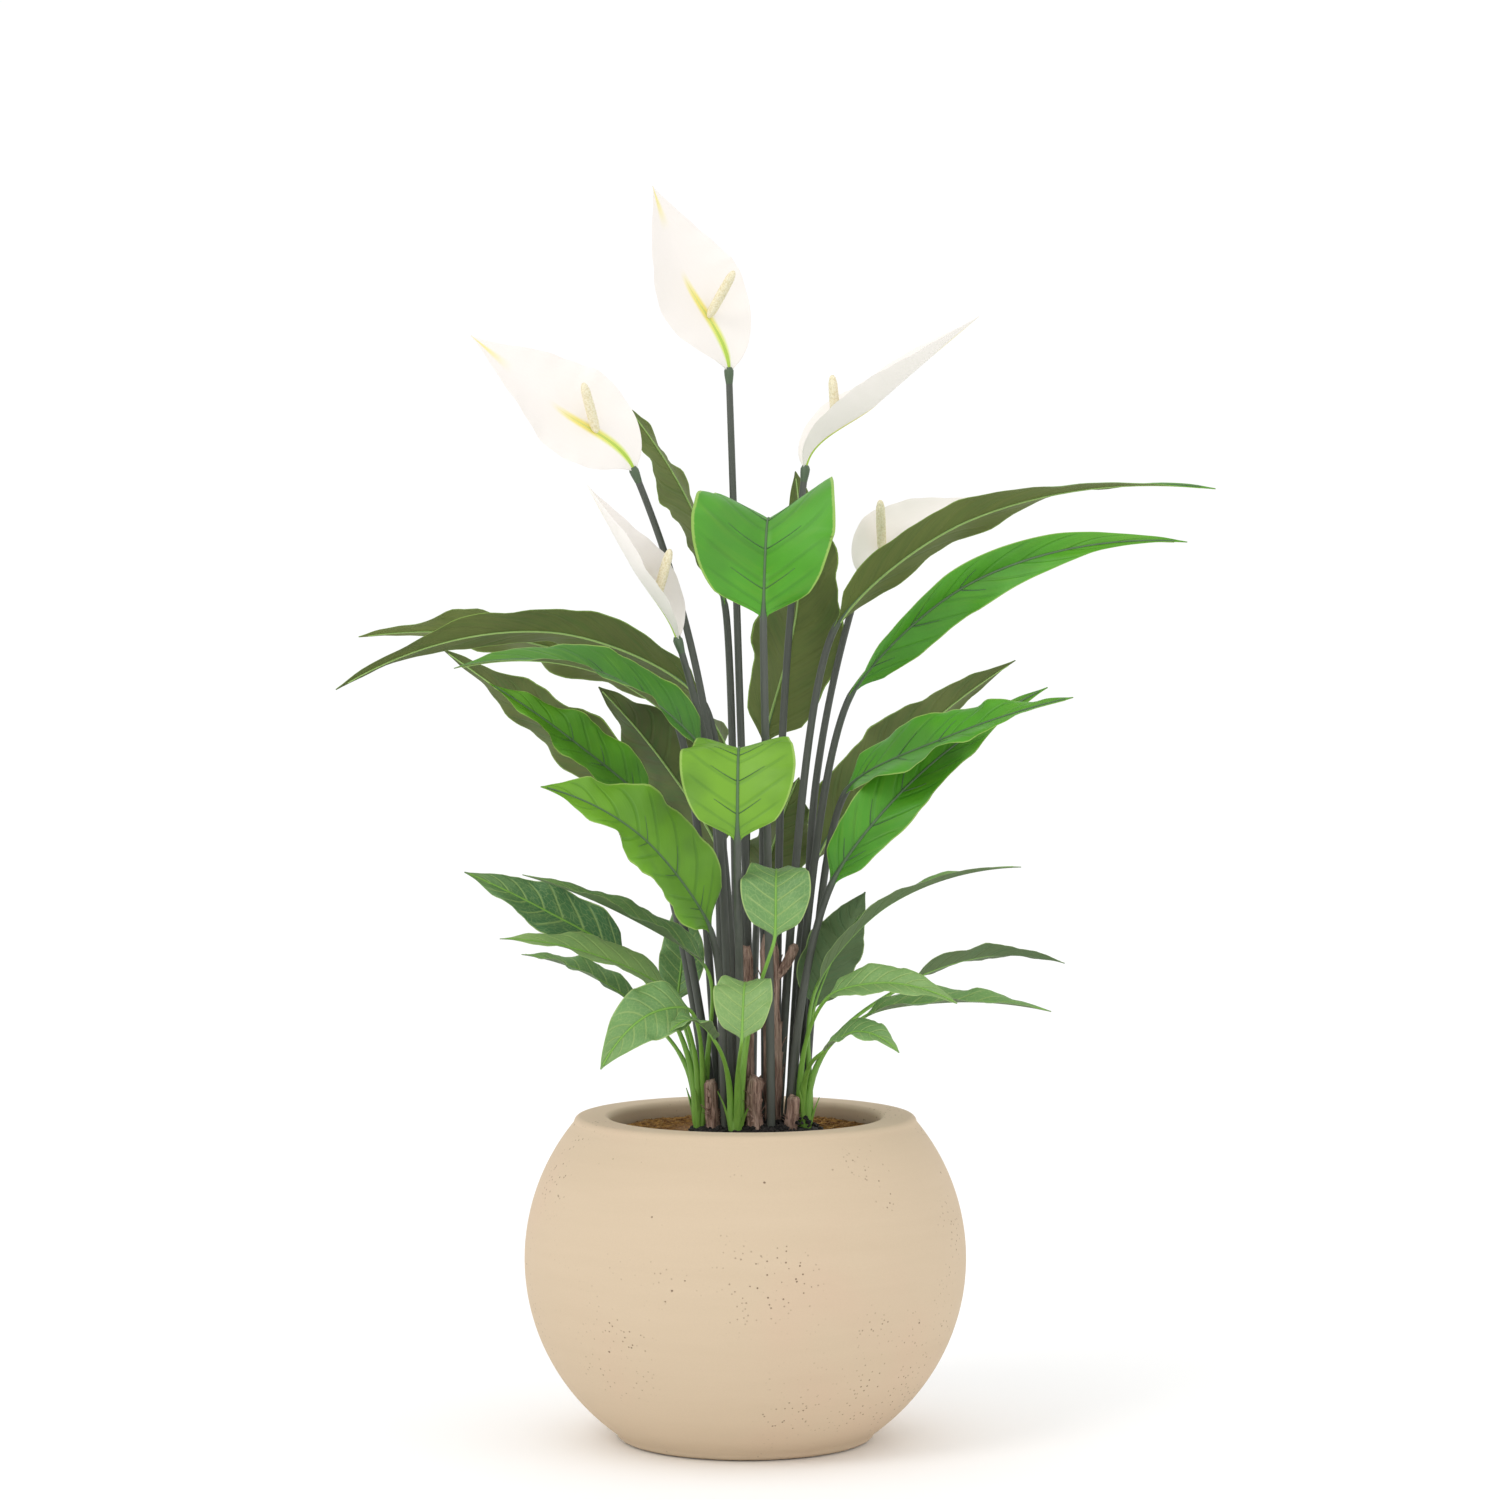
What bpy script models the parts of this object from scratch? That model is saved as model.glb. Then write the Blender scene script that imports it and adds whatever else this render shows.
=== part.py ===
"""Potted artificial peace lily: a globe planter, a weighted plug, canes, leaves and flowers.

Metres, +Z up. The origin is the centre of the planter's flat base, and -Y is the front.
"""
import math

import bmesh
import bpy
from mathutils import Vector

# ---------------------------------------------------------------- driving dimensions
GAP = 0.0003                    # left between pieces that touch

PLANTER_HEIGHT = 0.293
PLANTER_RADIUS = 0.200          # at the widest level of the globe
WIDEST_LEVEL = 0.164
FOOT_RADIUS = 0.117             # of the globe where it meets the rounded edge of its base
PLANTER_WALL = 0.016
PLANTER_FLOOR = 0.022
MOUTH_RADIUS = 0.122
RIM_WIDTH = 0.033               # across the top of the rim, from the mouth outwards
RIM_ROUND = 0.006
PLANTER_SEGMENTS = 44

DISC_BELOW_RIM = 0.015          # top of the filler disc under the rim
DISC_THICKNESS = 0.006
DISC_CLEARANCE = 0.002          # between the disc and the planter's mouth

PLUG_CENTRE = Vector((0.010, 0.0))
NECK_RADIUS = 0.061             # of the plug where it comes up through the disc
NECK_CLEARANCE = 0.0015
MOUND_RISE = 0.011              # crown of the plug above the disc
INNER_POT_TOP_RADIUS = 0.078
INNER_POT_BASE_RADIUS = 0.062
INNER_POT_WALL = 0.002
PLUG_SEGMENTS = 40

SOCKET_DEPTH = 0.022            # how far a stem goes into the plug
SOCKET_CLEARANCE = 0.0005

STEM_RADIUS = 0.004
FLOWER_STEM_RADIUS = 0.0038
PETIOLE_FOOT_RADIUS = 0.0020
PETIOLE_RADIUS = 0.0016
BLADE_HALF_THICKNESS = 0.0008
MIDRIB_HALF_THICKNESS = 0.0013
TIP_HALF_WIDTH = 0.0010

SHEATH_RISE = 0.020             # top of a sheath above the disc
SHEATH_FOOT_RADIUS = 0.0060
SHEATH_TOP_RADIUS = 0.0075
PETIOLE_CIRCLE = 0.0050         # where the petioles stand on a sheath

SPADIX_RADIUS = 0.0042
SPADIX_PLACE = 0.27             # how far along the spathe its spadix stands
SPADIX_LIFT = 0.0022            # centre of the spadix foot above the spathe

# ---------------------------------------------------------------- derived levels
DISC_TOP = PLANTER_HEIGHT - DISC_BELOW_RIM
DISC_BOTTOM = DISC_TOP - DISC_THICKNESS
RIM_RADIUS = MOUTH_RADIUS + RIM_WIDTH
DISC_RADIUS = MOUTH_RADIUS - DISC_CLEARANCE
MOUND_TOP = DISC_TOP + MOUND_RISE
SOCKET_FLOOR = DISC_TOP - SOCKET_DEPTH
SHEATH_TOP = DISC_TOP + SHEATH_RISE

# ---------------------------------------------------------------- layout, chosen by hand
# Every height below is counted from the top of the filler disc.
# Canes: name, foot (x, y), radius, then the points of the axis above the plug.
CANES = (
    ("cane_tall", (0.001, -0.010), 0.0060, ((0.001, -0.010, 0.094), (0.000, -0.010, 0.169))),
    ("cane_forked", (0.025, -0.010), 0.0075, ((0.024, -0.011, 0.094), (0.021, -0.012, 0.179))),
    ("cane_front", (0.008, -0.036), 0.0072, ((0.007, -0.036, 0.024), (0.009, -0.035, 0.054))),
    ("cane_left", (-0.029, -0.021), 0.0058, ((-0.030, -0.021, 0.024), (-0.031, -0.020, 0.049))),
    ("cane_right", (0.041, -0.031), 0.0055, ((0.042, -0.031, 0.019), (0.043, -0.032, 0.036))),
)

# Sheaths: name and foot.
SHEATHS = {
    "sheath_left": (-0.041, -0.002),
    "sheath_centre": (-0.009, -0.039),
    "sheath_right": (0.053, -0.015),
}

# Large leaves: name, foot (x, y), collar, middle and tip of the midrib, half width, fold in
# degrees, and how far the upper side is turned to the front at the collar, the middle and the tip.
LARGE_LEAVES = (
    ("leaf_a", (-0.006, 0.026), (-0.019, 0.070, 0.476), (-0.055, 0.075, 0.574),
     (-0.115, 0.060, 0.664), 0.050, 14, (-180, -160, -150)),
    ("leaf_b", (0.018, 0.034), (0.018, 0.085, 0.348), (0.048, 0.080, 0.474),
     (0.046, 0.115, 0.599), 0.055, 12, (180, 180, 180)),
    ("leaf_c", (0.023, -0.034), (0.016, -0.070, 0.466), (0.020, -0.045, 0.552),
     (0.024, 0.010, 0.514), 0.074, 30, (0, 0, 0)),
    ("leaf_d", (0.030, 0.009), (0.081, 0.000, 0.456), (0.200, -0.015, 0.552),
     (0.420, -0.030, 0.580), 0.030, 14, (-25, -32, 30)),
    ("leaf_e", (0.041, 0.009), (0.095, 0.015, 0.394), (0.205, -0.030, 0.498),
     (0.390, -0.080, 0.532), 0.027, 32, (165, 110, 30)),
    ("leaf_f", (0.040, 0.024), (0.064, 0.055, 0.243), (0.140, 0.085, 0.339),
     (0.250, 0.110, 0.424), 0.045, 20, (-60, -50, -40)),
    ("leaf_g", (0.053, 0.006), (0.091, 0.012, 0.307), (0.180, -0.062, 0.359),
     (0.287, -0.118, 0.396), 0.037, 18, (46, 38, 25)),
    ("leaf_h", (0.038, -0.017), (0.077, -0.050, 0.228), (0.152, -0.022, 0.320),
     (0.272, -0.008, 0.402), 0.030, 16, (55, 50, 30)),
    ("leaf_i", (-0.017, 0.001), (-0.040, 0.004, 0.391), (-0.174, -0.011, 0.452),
     (-0.365, -0.046, 0.401), 0.034, 14, (-20, -34, -34)),
    ("leaf_j", (-0.024, 0.023), (-0.072, 0.060, 0.386), (-0.200, 0.075, 0.442),
     (-0.357, 0.095, 0.446), 0.046, 14, (-40, -35, -20)),
    ("leaf_k", (-0.012, -0.017), (-0.037, -0.058, 0.344), (-0.125, -0.095, 0.416),
     (-0.253, -0.145, 0.422), 0.036, 22, (50, 25, 10)),
    ("leaf_l", (-0.033, 0.017), (-0.096, 0.040, 0.296), (-0.176, 0.045, 0.362),
     (-0.277, 0.050, 0.436), 0.037, 16, (-60, -50, -40)),
    ("leaf_m", (-0.028, 0.004), (-0.088, -0.010, 0.294), (-0.155, -0.020, 0.354),
     (-0.229, -0.035, 0.406), 0.032, 20, (55, 45, 35)),
    ("leaf_n", (-0.020, 0.034), (-0.024, 0.095, 0.247), (-0.075, 0.115, 0.328),
     (-0.137, 0.130, 0.399), 0.052, 16, (-70, -65, -60)),
    ("leaf_o", (-0.018, -0.026), (-0.031, -0.075, 0.188), (-0.092, -0.115, 0.274),
     (-0.177, -0.165, 0.320), 0.053, 16, (65, 55, 40)),
    ("leaf_p", (-0.008, 0.042), (0.000, 0.130, 0.296), (-0.030, 0.150, 0.364),
     (-0.070, 0.165, 0.414), 0.048, 16, (180, 175, 170)),
    ("leaf_q", (-0.004, -0.026), (-0.007, -0.120, 0.271), (-0.006, -0.100, 0.348),
     (-0.004, -0.050, 0.329), 0.053, 14, (0, 0, 0)),
    ("leaf_r", (0.006, 0.045), (0.012, 0.110, 0.199), (0.030, 0.130, 0.264),
     (0.050, 0.150, 0.314), 0.046, 16, (180, 175, 170)),
)

# Small leaves: name, sheath, direction of the petiole's place on it in degrees, then as above.
SMALL_LEAVES = (
    ("sprig_a", "sheath_left", 206, (-0.108, -0.035, 0.160), (-0.178, -0.055, 0.204),
     (-0.249, -0.075, 0.240), 0.030, 16, (60, 55, 45)),
    ("sprig_b", "sheath_left", 358, (-0.035, -0.065, 0.154), (-0.105, -0.090, 0.202),
     (-0.195, -0.125, 0.241), 0.027, 24, (30, 15, 10)),
    ("sprig_c", "sheath_left", 254, (-0.068, -0.060, 0.131), (-0.135, -0.100, 0.169),
     (-0.214, -0.140, 0.186), 0.025, 20, (40, 30, 20)),
    ("sprig_d", "sheath_left", 155, (-0.100, 0.020, 0.112), (-0.150, 0.035, 0.142),
     (-0.205, 0.050, 0.156), 0.020, 24, (15, 10, 10)),
    ("sprig_e", "sheath_left", 306, (-0.050, -0.085, 0.119), (-0.088, -0.120, 0.116),
     (-0.126, -0.150, 0.073), 0.028, 14, (50, 55, 60)),
    ("sprig_f", "sheath_centre", 290, (-0.003, -0.125, 0.097), (-0.001, -0.110, 0.140),
     (0.001, -0.080, 0.139), 0.028, 20, (0, 0, 0)),
    ("sprig_g", "sheath_centre", 215, (-0.028, -0.100, 0.094), (-0.046, -0.118, 0.112),
     (-0.066, -0.140, 0.104), 0.017, 20, (20, 10, 0)),
    ("sprig_h", "sheath_left", 108, (-0.062, 0.050, 0.114), (-0.058, 0.072, 0.159),
     (-0.062, 0.097, 0.209), 0.022, 16, (0, 0, 0)),
    ("sprig_i", "sheath_centre", 0, (0.026, -0.115, 0.186), (0.027, -0.098, 0.236),
     (0.028, -0.060, 0.239), 0.033, 18, (0, 0, 0)),
    ("sprig_j", "sheath_right", 0, (0.064, -0.030, 0.134), (0.128, -0.055, 0.209),
     (0.243, -0.098, 0.246), 0.022, 24, (20, 5, 0)),
    ("sprig_k", "sheath_right", 145, (0.062, -0.013, 0.114), (0.085, -0.012, 0.172),
     (0.108, -0.012, 0.218), 0.030, 16, (-70, -70, -70)),
    ("sprig_l", "sheath_right", 197, (0.074, -0.080, 0.130), (0.125, -0.105, 0.144),
     (0.185, -0.135, 0.129), 0.022, 20, (35, 35, 30)),
    ("sprig_m", "sheath_right", 50, (0.150, 0.010, 0.135), (0.220, 0.030, 0.156),
     (0.292, 0.050, 0.148), 0.018, 20, (-35, -30, -20)),
    ("sprig_n", "sheath_right", 305, (0.106, -0.035, 0.107), (0.185, -0.050, 0.122),
     (0.272, -0.065, 0.115), 0.022, 26, (15, 15, 10)),
    ("sprig_o", "sheath_right", 250, (0.070, -0.090, 0.083), (0.100, -0.115, 0.102),
     (0.134, -0.145, 0.087), 0.020, 20, (30, 25, 20)),
)

# Flowers: number, foot (x, y), bend of the stem, collar, middle and tip of the spathe, half width,
# fold, turn to the front as above, and the axis of the spadix.
FLOWERS = (
    (1, (0.006, 0.014), (-0.006, 0.040, 0.414), (-0.015, 0.045, 0.685), (-0.056, 0.036, 0.774),
     (-0.084, 0.020, 0.854), 0.052, 14, (75, 70, 60), (0.022, -0.024, 0.038)),
    (2, (-0.020, -0.009), (-0.034, -0.008, 0.364), (-0.098, -0.040, 0.593), (-0.168, -0.065, 0.652),
     (-0.241, -0.095, 0.713), 0.052, 14, (70, 65, 55), (-0.010, -0.026, 0.040)),
    (3, (0.028, 0.022), (0.034, 0.032, 0.364), (0.054, 0.045, 0.596), (0.120, 0.055, 0.659),
     (0.213, 0.065, 0.739), 0.038, 42, (5, 0, 5), (-0.004, -0.010, 0.046)),
    (4, (-0.006, 0.004), (-0.022, -0.022, 0.274), (-0.059, -0.055, 0.442), (-0.100, -0.072, 0.510),
     (-0.139, -0.085, 0.582), 0.036, 38, (40, 35, 25), (0.012, -0.016, 0.042)),
    (5, (0.052, 0.018), (0.064, 0.034, 0.314), (0.105, 0.055, 0.499), (0.147, 0.068, 0.538),
     (0.212, 0.080, 0.575), 0.038, 34, (45, 35, 25), (-0.002, -0.014, 0.044)),
)

UPRIGHT = Vector((0.0, 0.0, 1.0))
PLAIN_SPRINGS = (1.0, 1.0, 1.0)
LEAF_SPRINGS = (1.5, 0.6, 1.0)  # a leaf's stem, then the two halves of its blade
CARDINAL_FACTORS = (-1.0, -0.5, 0.0, 0.5, 1.0, 0.5, 0.0, -0.5)
RING_SIDES = len(CARDINAL_FACTORS)


# ---------------------------------------------------------------- helpers
def clear_scene():
    for item in list(bpy.data.objects):
        bpy.data.objects.remove(item, do_unlink=True)


def collection(name):
    group = bpy.data.collections.new(name)
    bpy.context.scene.collection.children.link(group)
    return group


def material(name, color, roughness, metallic=0.0):
    mat = bpy.data.materials.new(name)
    mat.use_nodes = True
    shader = mat.node_tree.nodes["Principled BSDF"]
    shader.inputs["Base Color"].default_value = (*color, 1.0)
    shader.inputs["Roughness"].default_value = roughness
    shader.inputs["Metallic"].default_value = metallic
    return mat


def add_object(name, mesh, group, mat):
    item = bpy.data.objects.new(name, mesh)
    group.objects.link(item)
    item.data.materials.append(mat)
    return item


def mesh_from(name, points, faces):
    mesh = bpy.data.meshes.new(name)
    mesh.from_pydata([tuple(point) for point in points], [], faces)
    work = bmesh.new()
    work.from_mesh(mesh)
    bmesh.ops.recalc_face_normals(work, faces=work.faces)
    work.to_mesh(mesh)
    work.free()
    return mesh


def loft(name, rings, group, mat):
    """One closed solid through rings of the same number of points."""
    sides = len(rings[0])
    points = [point for ring in rings for point in ring]
    faces = [tuple(range(sides))]
    for row in range(len(rings) - 1):
        for side in range(sides):
            near = row * sides + side
            far = row * sides + (side + 1) % sides
            # The far half is split the other way, so a twisted blade keeps its thickness.
            if side < sides // 2:
                faces += [(near, far, far + sides), (near, far + sides, near + sides)]
            else:
                faces += [(near, far, near + sides), (far, far + sides, near + sides)]
    last = (len(rings) - 1) * sides
    faces.append(tuple(range(last + sides - 1, last - 1, -1)))
    item = add_object(name, mesh_from(name, points, faces), group, mat)
    item.data.shade_smooth()
    item.data.set_sharp_from_angle(angle=math.radians(50))
    return item


def turned(name, profile, centre, segments, group, mat):
    """A profile of (radius, height), run down its outer side, turned about a vertical axis."""
    mesh = bpy.data.meshes.new(name)
    edges = [(index, index + 1) for index in range(len(profile) - 1)]
    mesh.from_pydata([(radius, 0.0, height) for radius, height in profile], edges, [])
    item = add_object(name, mesh, group, mat)
    item.location = (centre[0], centre[1], 0.0)
    screw = item.modifiers.new("turn", "SCREW")
    screw.steps = segments
    screw.render_steps = segments
    screw.use_merge_vertices = True
    screw.merge_threshold = 0.0001
    screw.use_smooth_shade = True
    return item


def hermite(start, end, leave, arrive, step):
    """A point and unit direction on a cubic with the given velocities at its ends."""
    a = 2 * step**3 - 3 * step**2 + 1
    b = step**3 - 2 * step**2 + step
    c = -2 * step**3 + 3 * step**2
    d = step**3 - step**2
    point = a * start + b * leave + c * end + d * arrive
    slope = ((6 * step**2 - 6 * step) * (start - end) + (3 * step**2 - 4 * step + 1) * leave
             + (3 * step**2 - 2 * step) * arrive)
    return point, slope.normalized()


def spine_directions(knots, first):
    """Unit directions at the knots: the given one first, then halfway between the spans."""
    directions = [first]
    for index in range(1, len(knots) - 1):
        before = (knots[index] - knots[index - 1]).normalized()
        after = (knots[index + 1] - knots[index]).normalized()
        directions.append((before + after).normalized())
    last = (knots[-1] - knots[-2]).normalized()
    directions.append((2 * last - directions[-1]).normalized())
    return directions


def spine(knots, steps, first=UPRIGHT, springs=PLAIN_SPRINGS):
    """Points and directions along smooth spans, with the given number of steps in each.

    springs says how strongly each of the last three spans keeps the direction it starts in.
    """
    directions = spine_directions(knots, first)
    spans = [(knots[index + 1] - knots[index]).length for index in range(len(knots) - 1)]
    stations = [(knots[0], directions[0])]
    for index, count in enumerate(steps):
        next_span = spans[min(index + 1, len(spans) - 1)]
        spring = springs[index - len(spans)] if index >= len(spans) - 3 else 1.0
        leave = directions[index] * spans[index] * spring
        arrive = directions[index + 1] * min(spans[index], next_span)
        for step in range(1, count + 1):
            stations.append(hermite(knots[index], knots[index + 1], leave, arrive, step / count))
    return stations


def three_way(values, place):
    """A smooth value through three given ones, at 0, 0.5 and 1."""
    first, middle, last = values
    return (first * (1 - place) * (1 - 2 * place) + middle * 4 * place * (1 - place)
            + last * place * (2 * place - 1))


def blade_axes(heading, direction, turn):
    """The side and the upper normal of a blade, turned to show its upper side to the front."""
    level_side = Vector((0, 0, 1)).cross(heading)
    side = (level_side - direction * level_side.dot(direction)).normalized()
    normal = direction.cross(side)
    to_front = 1.0 if side.y >= 0 else -1.0
    angle = math.radians(turn) * to_front
    turned_side = side * math.cos(angle) + normal * math.sin(angle)
    turned_normal = normal * math.cos(angle) - side * math.sin(angle)
    return turned_side, turned_normal


def blade_width(place, half_width):
    """Half the width of a leaf blade, widest before the middle and drawn out at the tip."""
    swell = math.sin(math.pi * place**0.74) ** 0.9
    return max(half_width * swell * (1 - 0.22 * place**3), TIP_HALF_WIDTH)


def round_ring(point, side, normal, radius):
    ring = []
    for index in range(RING_SIDES):
        angle = math.pi - index * 2 * math.pi / RING_SIDES
        ring.append(point + radius * (side * math.cos(angle) + normal * math.sin(angle)))
    return ring


def stem_ring(station, radius, heading, turn=0.0):
    point, direction = station
    side, normal = blade_axes(heading, direction, turn)
    return round_ring(point, side, normal, radius)


def blade_ring(station, place, row, stem_radius, waves):
    """The eight points of a blade section at its place from collar (0) to tip (1)."""
    point, direction = station
    half_width, fold, turns, heading = row
    side, normal = blade_axes(heading, direction, three_way(turns, place))
    if place > 0.999:
        return round_ring(point, side, normal, TIP_HALF_WIDTH)
    open_up = min(1.0, place / 0.12)
    width = stem_radius + (blade_width(place, half_width) - stem_radius) * open_up
    angle = math.radians(fold) * open_up
    rib = stem_radius + (MIDRIB_HALF_THICKNESS - stem_radius) * min(1.0, place / 0.2)
    skin = stem_radius * 0.7 + (BLADE_HALF_THICKNESS - stem_radius * 0.7) * open_up
    taper = 1.0 - 0.35 * place
    ripple = waves * math.sin(2 * math.pi * 3.3 * place) * math.sin(math.pi * place)
    ring = []
    for index, factor in enumerate(CARDINAL_FACTORS):
        reach = abs(factor)
        above = 0.0 if reach == 1.0 else (1.0 if index < 4 else -1.0)
        thickness = (rib if reach == 0.0 else skin) * taper
        across = factor * width * math.cos(angle)
        lift = reach * width * math.sin(angle) + ripple * reach**2 * (1 if factor > 0 else -1)
        ring.append(point + side * across + normal * (lift * open_up + above * thickness))
    return ring


def above_disc(point):
    """A point of the layout, whose height is counted from the disc, in the object's own frame."""
    return Vector((point[0], point[1], DISC_TOP + point[2]))


def level_heading(start, end):
    flat = Vector((end[0] - start[0], end[1] - start[1], 0.0))
    return flat.normalized()


# ---------------------------------------------------------------- the planter and what it holds
def globe_radius(height, inset=0.0):
    """Radius of the globe: one ellipse up to the rim's edge, another down to the foot's edge."""
    if height >= WIDEST_LEVEL:
        edge_radius, edge_rise = RIM_RADIUS, PLANTER_HEIGHT - RIM_ROUND - WIDEST_LEVEL
    else:
        edge_radius, edge_rise = FOOT_RADIUS, WIDEST_LEVEL - RIM_ROUND
    half_height = edge_rise / math.sqrt(1.0 - (edge_radius / PLANTER_RADIUS) ** 2)
    rise = (height - WIDEST_LEVEL) / (half_height - inset)
    return (PLANTER_RADIUS - inset) * math.sqrt(max(0.0, 1.0 - rise * rise))


def planter_profile():
    """Inside from the floor up to the rim, then the outside down to the base."""
    inner_top = PLANTER_HEIGHT - PLANTER_WALL
    profile = [(0.0, PLANTER_FLOOR)]
    for step in range(10):
        height = PLANTER_FLOOR + (inner_top - PLANTER_FLOOR) * step / 9
        narrowest = INNER_POT_BASE_RADIUS + 0.005
        profile.append((max(globe_radius(height, PLANTER_WALL), narrowest), height))
    profile.append((MOUTH_RADIUS, PLANTER_HEIGHT - RIM_ROUND))
    for degrees in (60, 30, 0):
        angle = math.radians(degrees)
        profile.append((MOUTH_RADIUS + RIM_ROUND * (1 - math.sin(angle)),
                        PLANTER_HEIGHT - RIM_ROUND * (1 - math.cos(angle))))
    for degrees in (0, 30, 60):
        angle = math.radians(degrees)
        profile.append((RIM_RADIUS - RIM_ROUND * (1 - math.sin(angle)),
                        PLANTER_HEIGHT - RIM_ROUND * (1 - math.cos(angle))))
    for step in range(13):
        height = PLANTER_HEIGHT - RIM_ROUND - (PLANTER_HEIGHT - 2 * RIM_ROUND) * step / 12
        profile.append((globe_radius(height), height))
    profile.append((FOOT_RADIUS - RIM_ROUND * 0.5, RIM_ROUND * 0.3))
    profile.append((FOOT_RADIUS - RIM_ROUND * 1.5, 0.0))
    profile.append((0.0, 0.0))
    return profile


def build_planter(group):
    mat = material("sandstone", (0.70, 0.56, 0.40), 0.85)
    return turned("planter", planter_profile(), (0.0, 0.0), PLANTER_SEGMENTS, group, mat)


def build_filler_disc(group, cutters):
    """A disc that drops through the mouth, with a hole for the plug's neck."""
    mat = material("coir", (0.24, 0.11, 0.02), 0.95)
    disc = turned("filler_disc", [(0.0, DISC_TOP), (DISC_RADIUS, DISC_TOP),
                                  (DISC_RADIUS, DISC_BOTTOM), (0.0, DISC_BOTTOM)],
                  (0.0, 0.0), PLANTER_SEGMENTS, group, mat)
    hole = cylinder("disc_hole", PLUG_CENTRE, NECK_RADIUS + NECK_CLEARANCE,
                    DISC_BOTTOM - 0.01, DISC_TOP + 0.01, PLUG_SEGMENTS, cutters)
    cut(disc, hole)
    return disc


def cylinder(name, centre, radius, bottom, top, segments, group):
    work = bmesh.new()
    bmesh.ops.create_cone(work, cap_ends=True, segments=segments, radius1=radius, radius2=radius,
                          depth=top - bottom)
    bmesh.ops.translate(work, verts=work.verts, vec=(centre[0], centre[1], (top + bottom) / 2))
    mesh = bpy.data.meshes.new(name)
    work.to_mesh(mesh)
    work.free()
    item = bpy.data.objects.new(name, mesh)
    group.objects.link(item)
    item.hide_render = True
    item.display_type = "WIRE"
    return item


def cut(item, cutter):
    boolean = item.modifiers.new(cutter.name, "BOOLEAN")
    boolean.operation = "DIFFERENCE"
    boolean.solver = "EXACT"
    boolean.object = cutter
    return boolean


def inner_pot_radius(height):
    """Outer radius of the inner pot at a height."""
    low = PLANTER_FLOOR + GAP
    share = (height - low) / (DISC_BOTTOM - GAP - low)
    return INNER_POT_BASE_RADIUS + (INNER_POT_TOP_RADIUS - INNER_POT_BASE_RADIUS) * share


def build_inner_pot(group):
    mat = material("black_pot_plastic", (0.02, 0.02, 0.02), 0.5)
    low = PLANTER_FLOOR + GAP
    top = DISC_BOTTOM - GAP
    floor = low + INNER_POT_WALL
    profile = [(0.0, floor), (inner_pot_radius(floor) - INNER_POT_WALL, floor),
               (inner_pot_radius(top) - INNER_POT_WALL, top), (inner_pot_radius(top), top),
               (inner_pot_radius(low), low), (0.0, low)]
    return turned("inner_pot", profile, PLUG_CENTRE, PLUG_SEGMENTS, group, mat)


def build_plug(group, cutters, sockets):
    """The weighted mass in the inner pot, with a socket for every stem that stands in it."""
    mat = material("plug_black", (0.012, 0.011, 0.010), 0.9)
    low = PLANTER_FLOOR + GAP + INNER_POT_WALL + GAP
    shoulder = DISC_BOTTOM - 2 * GAP
    inset = INNER_POT_WALL + GAP
    profile = [(0.0, MOUND_TOP), (NECK_RADIUS * 0.5, MOUND_TOP - 0.001),
               (NECK_RADIUS * 0.86, DISC_TOP + 0.005), (NECK_RADIUS, DISC_TOP),
               (NECK_RADIUS, shoulder), (inner_pot_radius(shoulder) - inset, shoulder),
               (inner_pot_radius(low) - inset, low), (0.0, low)]
    plug = turned("plug", profile, PLUG_CENTRE, PLUG_SEGMENTS, group, mat)
    sides = 10
    mouth = MOUND_TOP + 0.01
    work = bmesh.new()
    for centre, radius in sockets:
        corner = (radius + SOCKET_CLEARANCE) / math.cos(math.pi / sides)
        made = bmesh.ops.create_cone(work, cap_ends=True, segments=sides, radius1=corner,
                                     radius2=corner, depth=mouth - SOCKET_FLOOR)
        place = (centre[0], centre[1], (mouth + SOCKET_FLOOR) / 2)
        bmesh.ops.translate(work, verts=made["verts"], vec=place)
    mesh = bpy.data.meshes.new("sockets")
    work.to_mesh(mesh)
    work.free()
    cutter = bpy.data.objects.new("sockets", mesh)
    cutters.objects.link(cutter)
    cutter.hide_render = True
    cutter.display_type = "WIRE"
    cut(plug, cutter).use_self = True
    return plug


# ---------------------------------------------------------------- canes and sheaths
def build_cane(name, foot, radius, axis_points, group, mat):
    """A rough cane: a bark-wrapped rod whose girth swells and shrinks, with a slanted top."""
    knots = [Vector((foot[0], foot[1], SOCKET_FLOOR + GAP)), Vector((foot[0], foot[1], MOUND_TOP))]
    knots += [above_disc(point) for point in axis_points]
    stations = spine(knots, (1, 3, 3))
    rings = []
    heading = Vector((1.0, 0.0, 0.0))
    for number, (point, direction) in enumerate(stations):
        rough = 0.0 if number < 2 else 0.12 * math.sin(2.4 * number + 9.0 * foot[0])
        shrink = 0.75 if number == len(stations) - 1 else 1.0
        ring = stem_ring((point, direction), radius * (1.0 + rough) * shrink, heading)
        rings.append(ring)
    return loft(name, rings, group, mat)


def build_sheath(name, foot, group, mat):
    """The thick light-green base that a sprig's petioles grow from."""
    profile = [(0.0, SHEATH_TOP), (SHEATH_TOP_RADIUS * 0.85, SHEATH_TOP),
               (SHEATH_TOP_RADIUS, SHEATH_TOP - 0.003), (SHEATH_FOOT_RADIUS, DISC_TOP + 0.004),
               (SHEATH_FOOT_RADIUS, SOCKET_FLOOR + GAP), (0.0, SOCKET_FLOOR + GAP)]
    return turned(name, profile, foot, 12, group, mat)


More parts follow.
